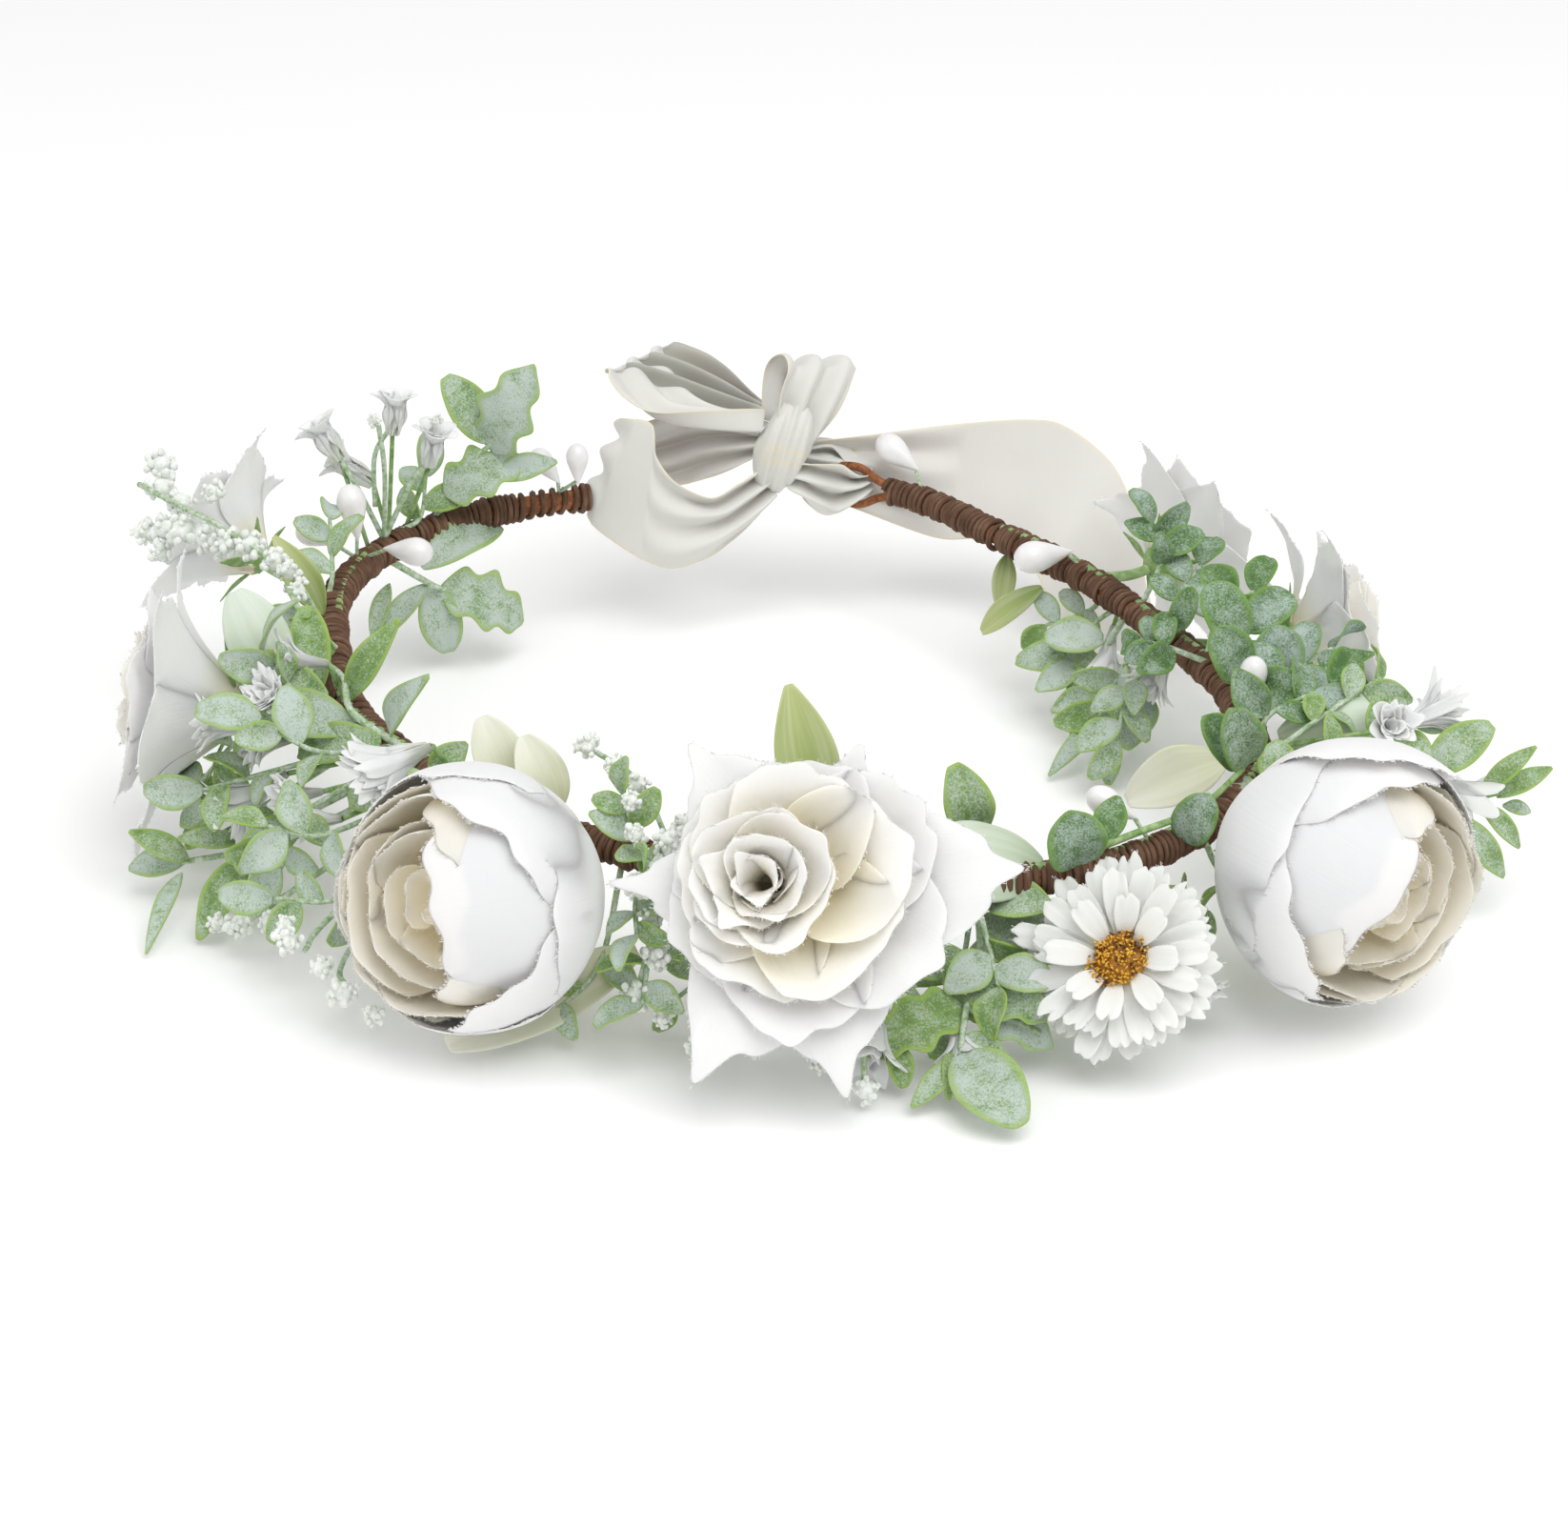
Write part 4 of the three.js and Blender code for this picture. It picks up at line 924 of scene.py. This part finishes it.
def shoots(name, paths, count, length, width, kind="petal", material=FROSTED):
    """Thin side shoots with small leaves in turn on either side."""
    bars, blades, slot = Shape(), Shape(), leaf_slot(material)
    for points in paths:
        path = smooth_curve([spot(p) for p in points], 24)
        bars.tube(path, np.linspace(0.6, 0.4, 24), sides=6)
        for k in range(count):
            i = min(int(24 * (0.3 + 0.7 * (k + 1) / count)), 23)
            along = unit(path[i] - path[i - 1])
            out = unit(np.cross(along, TO_VIEWER)) * (1 if k % 2 else -1)
            way = unit(along * 0.6 + out * (0.9 if k < count - 1 else 0.1) + rng.normal(0, 0.22, 3))
            size = length * (0.75 + 0.5 * rng.random())
            shape_of = kind if rng.random() < 0.6 else "pointed"
            tip = path[i] + way * size
            leaf(blades, path[i], tip, width * size / length, shape_of, twist=rng.normal(0, 30))
    build(f"{name}_stem", bars, POWDER_STEM, "ring", smooth=1)
    build(f"{name}_leaves", blades, material, "ring", thickness=0.4)


shoots("left_shoots",
       [[(-160, 70), (-166, 92, 33), (-176, 99, 30)], [(-155, 40), (-156, 96, 27), (-158, 108, 24)],
        [(-150, 20), (-148, 96, 24), (-146, 102, 17)], [(-165, 30), (-167, 96, 26), (-166, 106, 18)],
        [(-150, -20), (-154, 96, 18), (-163, 106, 12)], [(-140, 90), (-137, 82, 34), (-131, 84, 38)],
        [(-152, 60), (-150, 90, 34), (-153, 99, 40)], [(-140, 20), (-141, 97, 26), (-145, 105, 27)],
        [(-134, -30), (-136, 99, 18), (-141, 109, 17)], [(-158, 80), (-160, 88, 38), (-162, 94, 46)],
        [(-160, -40), (-163, 96, 14), (-168, 104, 9)]],
       4, 10, 6.5)
shoots("back_left_shoots",
       [[(160, 60), (158, 90, 34), (152, 96, 40)], [(140, 60), (137, 94, 32), (132, 102, 36)],
        [(168, -20), (170, 88, 24), (164, 95, 20)], [(176, 100), (178, 84, 36), (-176, 86, 42)]],
       4, 9, 5.5)
shoots("front_left_shoots",
       [[(-100, 80), (-103, 84, 33), (-101, 93, 36)], [(-100, -40), (-101, 92, 20), (-101, 100, 13)],
        [(-93, -80), (-94, 86, 15), (-99, 90, 8)], [(-108, -90), (-108, 88, 12), (-112, 98, 5)],
        [(-104, 10), (-103, 90, 27), (-102, 96, 24)], [(-106, 60), (-104, 84, 36), (-106, 82, 43)],
        [(-76, -60), (-77, 98, 14), (-77, 106, 8)]],
       4, 8, 5)
shoots("front_right_shoots",
       [[(-60, -30), (-61, 99, 18), (-58, 106, 14)], [(-48, -60), (-47, 100, 18), (-48, 106, 12)],
        [(-66, -80), (-67, 92, 14), (-70, 97, 8)], [(-38, 20), (-33, 103, 28), (-27, 108, 30)],
        [(-50, -100), (-47, 95, 15), (-41, 99, 12)], [(-66, -40), (-66, 98, 20), (-67, 106, 16)],
        [(-56, -60), (-57, 102, 14), (-60, 110, 8)], [(-40, -20), (-38, 104, 20), (-36, 110, 14)]],
       4, 9, 6.5)
shoots("right_shoots",
       [[(-14, 30), (-9, 98, 34), (-3, 108, 36)], [(-20, 60), (-20, 99, 36), (-14, 108, 38)],
        [(2, 80), (5, 88, 36), (9, 96, 38)], [(20, 60), (21, 84, 38), (24, 84, 44)],
        [(0, 110), (2, 78, 32), (8, 74, 30)],
        [(12, 40), (15, 84, 34), (20, 92, 36)], [(-4, 0), (-3, 100, 28), (3, 110, 24)]],
       5, 9, 6, material=ROUND)
shoots("inside_right_shoots",
       [[(16, -100), (17, 74, 18), (14, 68, 10)], [(10, -90), (9, 73, 20), (4, 69, 12)],
        [(26, -80), (29, 75, 20), (27, 70, 12)], [(30, -60), (33, 78, 21), (38, 73, 17)]],
       5, 9, 5.5)
shoots("right_end_shoots",
       [[(-26, 20), (-21, 112, 32), (-17, 124, 35)], [(-24, 60), (-19, 108, 36), (-13, 116, 39)]],
       5, 8, 5, "pointed")

# Smooth leaves and sepals.
spray("mint_leaves", [],
      [((-58, 94, 29), (-73, 87, 33), 15, "petal", {"bend": 0.14, "fold": -0.3}),
       ((-166, 90, 36), (-171, 97, 52), 12, "petal", {"fold": -0.2}),
       ((-18, 100, 30), (-14, 122, 34), 11, "petal", {"bend": 0.2, "fold": -0.4})],
      SEPAL, [], thickness=0.5)
spray("ranunculus_left_sepal", [], [((-104, 84, 14), (-118, 112, 5), 11, "petal", {"bend": -0.08})],
      PALE_LEAF, [], body="ranunculus_left", thickness=0.5)
spray("pale_leaves", [],
      [((-22, 92, 27), (-29, 77, 20), 11, "petal"),
       ((-124, 76, 36), (-129, 76, 48), 9, "petal"), ((-117, 76, 34), (-122, 76, 47), 9, "petal")],
      PALE_LEAF, [], thickness=0.4)
spray("rose_front_sepal", [], [((-82, 82, 38), (-85.5, 73, 61), 11, "pointed", {"bend": 0.03, "fold": 0.3})],
      OLIVE, [], body="rose_front")
spray("green_leaves", [],
      [((40, 74, 24), (48, 67, 13), 5.5, "petal"), ((167, 86, 31), (166, 96, 46), 7, "pointed"),
       ((52, 82, 24), (50, 76, 13), 5, "pointed")],
      OLIVE, [])

# ---------------------------------------------------------------- pips
PIPS = [
    ("pip_pair_left", (149, 70), [((150, 97, 33), (153, 103, 37)), ((149, 93, 34), (148, 96, 45))]),
    ("pip_left_inner", (148, 110), [((148, 88, 33), (147, 77, 34))]),
    ("pip_pair_back_left", (117, 100), [((118, 87, 34), (120, 93, 40)), ((116, 85, 34), (116, 85, 43))]),
    ("pip_back_right", (35, 100), [((36, 77, 33), (39, 65, 33))]),
    ("pip_right", (-15, 80), [((-15, 94, 33), (-15, 94, 43))]),
    ("pip_front_right", (-46, 125), [((-46, 96, 33), (-49, 88, 37))]),
    ("pip_back", (68, 80), [((69, 92, 33), (75, 95, 38))]),
]
# Radius and height, as shares of a drop's length.
DROP = [
    (0.01, 0.0), (0.06, 0.1), (0.17, 0.34), (0.26, 0.58), (0.275, 0.74), (0.2, 0.91), (0.1, 0.98),
    (0.01, 1.0),
]
for name, root, drops in PIPS:
    shape, wires = Shape(), Shape()
    for base, tip in drops:
        base, tip = at(*base), at(*tip)
        length = np.linalg.norm(tip - base)
        shape.lathe([(r * length, h * length) for r, h in DROP], base, tip - base, sides=16)
        wires.tube(smooth_curve([on_twine(*root), base * 0.9 + tip * 0.1], 6), 0.4, sides=6)
    build(name + "_drops", shape, PIP, "ring", [name])
    build(name + "_wires", wires, POWDER_STEM, "ring", smooth=1)


# ---------------------------------------------------------------- filler flowers
BUDS = 26  # in a clump, over its middle


def clump(shape, centre, radius):
    """A cluster of powdered buds."""
    shape.blob(centre, radius * 0.6, 0.3)
    for _ in range(BUDS):
        shape.blob(centre + unit(rng.normal(0, 1, 3)) * radius * (0.55 + 0.35 * rng.random()),
                   radius * (0.14 + 0.16 * rng.random()), 0.5, 5)


FILLERS = {
    "gypsophila_back_left": (
        [[(173, 60), (178, 87, 46), (174, 101, 53), (170, 112, 54), (166, 123, 54)],
         [(-167, 81, 38), (-179, 88, 47)]],
        [((-171, 83, 41), 1.8), ((-175, 84, 43), 2.2), ((-179, 86, 46), 2.6), ((178, 88, 48), 2.8),
         ((177, 91, 49), 3.0),
         ((175, 96, 51), 3.4), ((174, 101, 50), 3.6), ((172, 106, 50), 3.8), ((171, 111, 50), 3.8),
         ((169, 116, 48), 3.6),
         ((168, 113, 53), 3.2), ((165, 119, 53), 3.6), ((163, 121, 56), 3.4), ((168, 121, 46), 3.2),
         ((170, 116, 44), 2.8),
         ((166, 108, 54), 2.6)]),
    "bell_sprig_back_left": (
        [[(143, 80), (145, 98, 42), (145, 103, 48)], [(144, 95, 38), (143, 96, 48), (141, 95, 53)],
         [(143, 80), (140, 91, 42), (138, 89, 46)], [(143, 80), (144, 92, 46), (144, 93, 56)]],
        [((144, 94, 57), 1.8), ((137, 88, 55), 1.6)]),
    "gypsophila_front_left": (
        [[(-101, 100), (-106, 72, 40), (-113, 73, 46)], [(-101, 100), (-96, 73, 37)]],
        [((-113, 74, 47), 2.8), ((-109, 74, 44), 2.4), ((-106, 74, 41), 2.6), ((-96, 75, 38), 2.4),
         ((-99, 77, 36), 2.2),
         ((-103, 90, 40), 2.4), ((-101, 88, 35), 2.6), ((-104, 86, 44), 2.0)]),
    "gypsophila_front_low": (
        [[(-101, -80), (-101, 92, 21), (-102, 97, 13)], [(-101, -30), (-99, 92, 30), (-98.5, 91, 38)],
         [(-97, -60), (-95, 99, 14), (-94.5, 103, 9)], [(-85, -60), (-87, 99, 15), (-87.5, 105, 10)],
         [(-80, -60), (-80, 104, 12), (-80.5, 112, 5)]],
        [((-99, 91, 40), 3.0), ((-100, 92, 36), 2.4), ((-102, 94, 32), 2.8), ((-101, 93, 26), 2.4),
         ((-100, 95, 20), 3.2),
         ((-102, 98, 13), 3.2), ((-99, 99, 10), 2.2), ((-95, 104, 8), 3.0), ((-92, 103, 10), 2.0),
         ((-80.5, 113, 4), 2.8),
         ((-84, 107, 6), 2.0)]),
    "gypsophila_lower_left": (
        [[(-138, -60), (-136, 104, 15), (-133, 114, 15)], [(-138, -40), (-132, 106, 12), (-128, 114, 11)],
         [(-142, -60), (-145, 103, 12), (-147, 110, 7)]],
        [((-134, 116, 17), 3.0), ((-131, 114, 13), 2.6), ((-128, 115, 11), 3.0), ((-125, 114, 8), 2.4),
         ((-137, 112, 16), 2.2),
         ((-147, 110, 7), 3.0), ((-144, 107, 9), 2.4), ((-150, 112, 5), 2.2), ((-141, 108, 12), 2.0)]),
}
for name, (stems, clumps) in FILLERS.items():
    bars, buds = Shape(), Shape()
    for points in stems:
        bars.tube(smooth_curve([spot(p) for p in points], 6 * len(points)), 0.55, sides=6)
    for centre, radius in clumps:
        clump(buds, at(*centre), radius)
    build(name + "_stems", bars, POWDER_STEM, "ring", smooth=1)
    build(name + "_buds", buds, POWDER, "ring", [name])


def trumpet(shape, base, mouth, radius, lobes, cut):
    """A fluted flower: lobes petals round its mouth, in three rows with cut ends when cut is large."""
    base, mouth = at(*base), at(*mouth)
    direction, length = unit(mouth - base), np.linalg.norm(mouth - base)
    place = placed(base, direction, rng.random() * 90)
    rows = ((62, 1.15), (38, 1.1), (16, 1.0)) if cut > 0.15 else ((66, 1.15),)
    for flare, share in rows:
        for k in range(lobes):
            petal(shape, place, 360 * (k + rng.random() * 0.5) / lobes,
                  length * share * (1 + rng.normal(0, cut * 0.25)), max(radius * 4.2 / lobes, 1.1), (0.5, 0),
                  (5 + rng.normal(0, 3), flare + 12 + rng.normal(0, 9)), bend=2.2, cup=1.0,
                  shoulder=0.3 if cut > 0.15 else 0.6, ruffle=0.35, along=9, across=7, threads=0,
                  min_cup=1.2, notch=0.2 if cut > 0.15 else 0.0)


TRUMPETS = {
    "trumpet_flower_left": ((-136, 60), (-136, 80, 40), (-141, 91, 37), 8, 6, 0.1),
    "fringe_flower_left": ((-158, 20), (-158, 91, 31), (-158, 100, 31), 6.5, 16, 0.3),
    "fringe_flower_low_right": ((-50, -60), (-49, 111, 13), (-48, 117, 7), 6, 16, 0.3),
}
for name, (root, base, mouth, radius, lobes, cut) in TRUMPETS.items():
    head, bars = Shape(), Shape()
    trumpet(head, base, mouth, radius, lobes, cut)
    bars.tube(smooth_curve([on_twine(*root), at(*base)], 8), 0.6, sides=6)
    build(name + "_head", head, PETAL_COOL, "ring", [name], thickness=0.25)
    build(name + "_stem", bars, GREEN_STEM, "ring", smooth=1)

fringes, fringe_stems = Shape(), Shape()
for base, mouth, radius, lobes, cut in [
    ((-132, 84, 44), (-138, 92, 36), 9, 18, 0.3), ((-158, 98, 34), (-160, 107, 36), 6, 16, 0.3),
    ((-162, 82, 42), (-163, 91, 44), 4.5, 12, 0.3), ((-145, 90, 24), (-149, 95, 22), 4, 12, 0.3),
    ((12, 83, 25), (11, 76, 17), 5, 16, 0.3), ((-20, 128, 30), (-17, 137, 21), 5, 6, 0.1),
    ((-88, 92, 14), (-87, 100, 6.2), 4.5, 5, 0.2), ((-77, 99, 14), (-80, 109, 5.4), 3.5, 5, 0.2),
    ((-71, 103, 11), (-71, 111, 5), 4.5, 12, 0.3), ((-20, 122, 37), (-15, 130, 38), 4, 12, 0.3),
    ((-23, 120, 38), (-26, 125, 45), 3.5, 5, 0.2), ((145, 102, 47), (146, 107, 55), 7, 5, 0.06),
    ((141, 94, 52), (140, 94, 61), 6.5, 5, 0.06), ((138, 89, 45), (137, 88, 54), 6.5, 5, 0.06),
    ((141, 100, 40), (143, 108, 45), 6.5, 5, 0.06),
    ((-156, 93, 26), (-158, 105, 18), 6.5, 16, 0.3), ((-158, 90, 36), (-157, 97, 43), 6, 14, 0.3),
    ((-150, 90, 26), (-150, 99, 27), 5, 12, 0.3), ((26, 78, 22), (22, 73, 13), 5, 12, 0.3),
]:
    trumpet(fringes, base, mouth, radius, lobes, cut)
    angle, distance, height = base
    root = on_twine(angle, 30 if height > RING_HEIGHT else -60)
    fringe_stems.tube(smooth_curve([root, at(*base)], 8), 0.5, sides=6)
build("small_flowers", fringes, PETAL_COOL, "ring", thickness=0.22)
build("small_flower_stems", fringe_stems, GREEN_STEM, "ring", smooth=1)

# ---------------------------------------------------------------- ribbon
RIBBON_WIDTH = 25.0
RIBBON_THICKNESS = 0.3
PLEATS = 8.0  # radians of the pleats' wave from the middle of the ribbon to a selvedge
STEPS, COLUMNS = 22, 33  # rows of a stretch for each point of its selvedges, and points in a row


def band(name, first, second, node=None, bulge=0.0, inner=(2, 3)):
    """A stretch of the ribbon between its two selvedges, each a list of (x, y, z). Where they lie closer
    than the ribbon is wide, the cloth between them stands in pleats deep enough to take up its whole
    width. bulge bows its middle. inner is the share of its length that gets painted shade, for the inside
    of a loop lying in shadow, and is past its end where there is none."""
    count = STEPS * len(first)
    one, two = smooth_curve(first, count), smooth_curve(second, count)
    t = np.linspace(-1, 1, COLUMNS)
    across = two - one
    widths = np.linalg.norm(across, axis=1)
    along = np.gradient((one + two) / 2, axis=0)
    normal = np.cross(along, across)
    normal /= np.maximum(np.linalg.norm(normal, axis=1, keepdims=True), 1e-9)
    # How long a wave is over its own width, for waves from flat to steep.
    slopes = np.linspace(0, 10, 80)
    lengths = np.sqrt(1 + (slopes[:, None] * np.cos(np.linspace(0, np.pi, 60))) ** 2).mean(1)
    depths = np.interp(RIBBON_WIDTH / widths, lengths, slopes) * widths / (2 * PLEATS)
    rows = []
    for k in range(count):
        wave = depths[k] * np.sin(t * PLEATS + 0.6 * math.sin(k * 0.06))
        wave = wave + bulge * (1 - t**2) * min(widths[k] / RIBBON_WIDTH, 1)
        rows.append(one[k] + ((t + 1) / 2)[:, None] * across[k] + wave[:, None] * normal[k])
    share = np.linspace(0, 1, count)[:, None]
    # Painted shade for the inside of a loop lying in shadow, carried in the tone.
    painted_loop_shade = np.clip((share - inner[0]) / 0.04, 0, 1) * np.clip((inner[1] - share) / 0.04, 0, 1)
    shape = Shape()
    shape.grid(np.array(rows), tone=painted_loop_shade * np.ones(COLUMNS))
    piece = build(name, shape, RIBBON, "ring", [node] if node else (), thickness=RIBBON_THICKNESS)


# The knot: a length of the ribbon drawn tight round its own gathered middle.
KNOT = np.array([4.8, 86.5, 38.0])
KNOT_HEIGHT, KNOT_DEPTH, KNOT_WIDTH = 9.6, 5.2, 5.6  # each from its middle to its side
knot_out, knot_side = unit([0.0, -1.0, 0.1]), unit([1.0, 0.0, -0.22])
knot_up = np.cross(knot_side, knot_out) * -1
turn = np.linspace(0, 2 * np.pi, 64, endpoint=False)[None, :]
h = np.linspace(-1, 1, 41)[:, None]
folds = 0.34 * np.sin(10 * h + 1.2 * np.sin(turn + 0.5)) + 0.2 * np.sin(17 * h + 2 * np.cos(turn))
squeeze = np.sqrt(np.clip(1.06 - np.abs(h) ** 3.0, 0.06, 1))
high = (KNOT_HEIGHT * squeeze + folds) * np.sin(turn)
deep = (KNOT_DEPTH * squeeze + folds) * np.cos(turn)
width = KNOT_WIDTH * h * (1 - 0.12 * np.sin(turn) ** 2) + 0.8 * np.sin(turn)
knot = Shape()
knot_points = KNOT + width[..., None] * knot_side + deep[..., None] * knot_out + high[..., None] * knot_up
knot.grid(knot_points, close=True, tone=0.0)
for end in (0, -1):
    cap = knot_points[end]
    middle = cap.mean(0)
    rings = np.array([cap, middle + (cap - middle) * 0.5, middle + (cap - middle) * 0.02])
    knot.grid(rings, close=True, tone=0.0)
build("knot_band", knot, RIBBON, "ring", ["ribbon_bow"])

# Its back half, from 0.56 of its length to its end, gets painted shade where the loop's inside lies in
# shadow.
band("bow_loop_left",
     [(1, 88, 43.5), (-11.5, 86, 44.5), (-22, 84, 45.5), (-28, 83.5, 49.5), (-31.5, 85.5, 54),
      (-29, 90, 53.5),
      (-21.5, 95, 49), (-10.5, 96, 44), (1, 92, 42)],
     [(0, 91, 41), (-8, 95, 41.5), (-14, 100, 45), (-18.5, 103.5, 50), (-19.5, 105.5, 53),
      (-17.5, 107, 52.5),
      (-11.5, 106, 50), (-5.5, 103, 46), (1, 95, 42)], inner=(0.56, 1.0))
band("bow_loop_right",
     [(3, 86, 41), (3.5, 85.5, 50), (5, 87, 55), (4.2, 90, 56), (2, 93, 52), (1.5, 91, 42)],
     [(10.5, 88, 36), (17, 92, 43.5), (20.5, 98.5, 50), (19.5, 101.5, 51), (15, 104, 48), (7.5, 96, 40)])
band("eye_loop",
     [(1, 90, 42), (-9.5, 94, 42), (-16, 97, 41), (-21, 97.5, 40), (-26, 95, 39), (-29, 91, 41),
      (-27, 85, 45),
      (-22, 82, 45), (-21, 79.5, 39), (-16.5, 78, 33.5), (-10.5, 80, 29.5), (-5, 83, 31.5), (1, 86, 35)],
     [(-1, 89, 34.5), (-7.5, 91, 30.5), (-12.5, 93, 28), (-17, 94, 26.5), (-27, 93, 25), (-34, 89, 25),
      (-36.5, 84, 24),
      (-31, 79, 20.5), (-20, 75.5, 15.5), (-11, 76, 17), (-5, 78.5, 20.5), (0, 82, 24), (3, 85, 27)],
     "ribbon_eye_loop", bulge=-0.8)
band("eye_hitch",
     [(7, 85, 36), (9, 84, 36), (12, 84.5, 35.8), (16.5, 87, 34.3), (20, 88.5, 31), (21, 92, 31),
      (15, 95, 36), (8, 92, 37)],
     [(7, 85, 29), (8.5, 83.5, 27.5), (11.5, 83.5, 25), (15.5, 85, 23), (20.5, 87.5, 26), (21.5, 92, 27),
      (16, 94, 30), (8, 91, 32)],
     "ribbon_hitch")
band("tail",
     [(7, 90, 38), (13, 94, 36.5), (20.5, 96, 36.5), (40.5, 98, 38.5), (56, 97, 40), (64, 94, 39.5),
      (73.5, 89, 33),
      (78.5, 85, 22), (80.5, 83, 10), (83, 78.5, 1.6), (89, 70, 1.0)],
     [(7, 88, 31), (13, 89, 26), (20.5, 89, 23), (36.5, 88, 17), (46, 86, 17.5), (52.5, 82, 17),
      (57, 75, 15),
      (60, 70, 8.5), (62, 67, 3.5), (66, 62.5, 1.2), (71.5, 55, 0.9)],
     "ribbon_tail", bulge=0.5)

# ---------------------------------------------------------------- floor, light and camera
bpy.context.scene.view_settings.view_transform = "Standard"
PALE = (1.0, 1.0, 1.0, 1)
FLOOR_HALF = 3.0
WORLD_STRENGTH = 0.67
floor_mesh = bpy.data.meshes.new("floor")
corners = [(x * FLOOR_HALF, y * FLOOR_HALF, 0) for x, y in ((-1, -1), (1, -1), (1, 1), (-1, 1))]
floor_mesh.from_pydata(corners, [], [(0, 1, 2, 3)])
floor = bpy.data.objects.new("floor", floor_mesh)
bpy.context.scene.collection.objects.link(floor)
floor_material, floor_shader, _, _ = new_material("pale_floor")
surface(floor_shader, {"Base Color": PALE, "Roughness": 0.9, "Specular IOR Level": 0.1})
floor_mesh.materials.append(floor_material)

world = bpy.data.worlds.new("studio")
bpy.context.scene.world = world
world.use_nodes = True
surface(world.node_tree.nodes["Background"], {"Color": PALE, "Strength": WORLD_STRENGTH})


def area_light(name, place, target, size, power):
    data = bpy.data.lights.new(name, "AREA")
    data.size, data.energy = size, power
    light = bpy.data.objects.new(name, data)
    light.location = place
    light.rotation_euler = (Vector(target) - Vector(place)).to_track_quat("-Z", "Y").to_euler()
    bpy.context.scene.collection.objects.link(light)


area_light("key", (0.3, -0.5, 1.15), (0, 0, 0.03), 1.1, 9.8)
area_light("fill", (-0.9, -0.4, 0.8), (0, 0, 0.03), 0.9, 2.0)

ELEVATION, DISTANCE, TARGET = 27.0, 0.75, Vector((0.005, -0.038, 0.028))
camera_data = bpy.data.cameras.new("camera")
camera_data.sensor_width, camera_data.lens = 36.0, 95.1
camera = bpy.data.objects.new("camera", camera_data)
e = math.radians(ELEVATION)
camera.location = TARGET + DISTANCE * Vector((0, -math.cos(e), math.sin(e)))
camera.rotation_euler = (TARGET - camera.location).to_track_quat("-Z", "Y").to_euler()
bpy.context.scene.collection.objects.link(camera)
bpy.context.scene.camera = camera
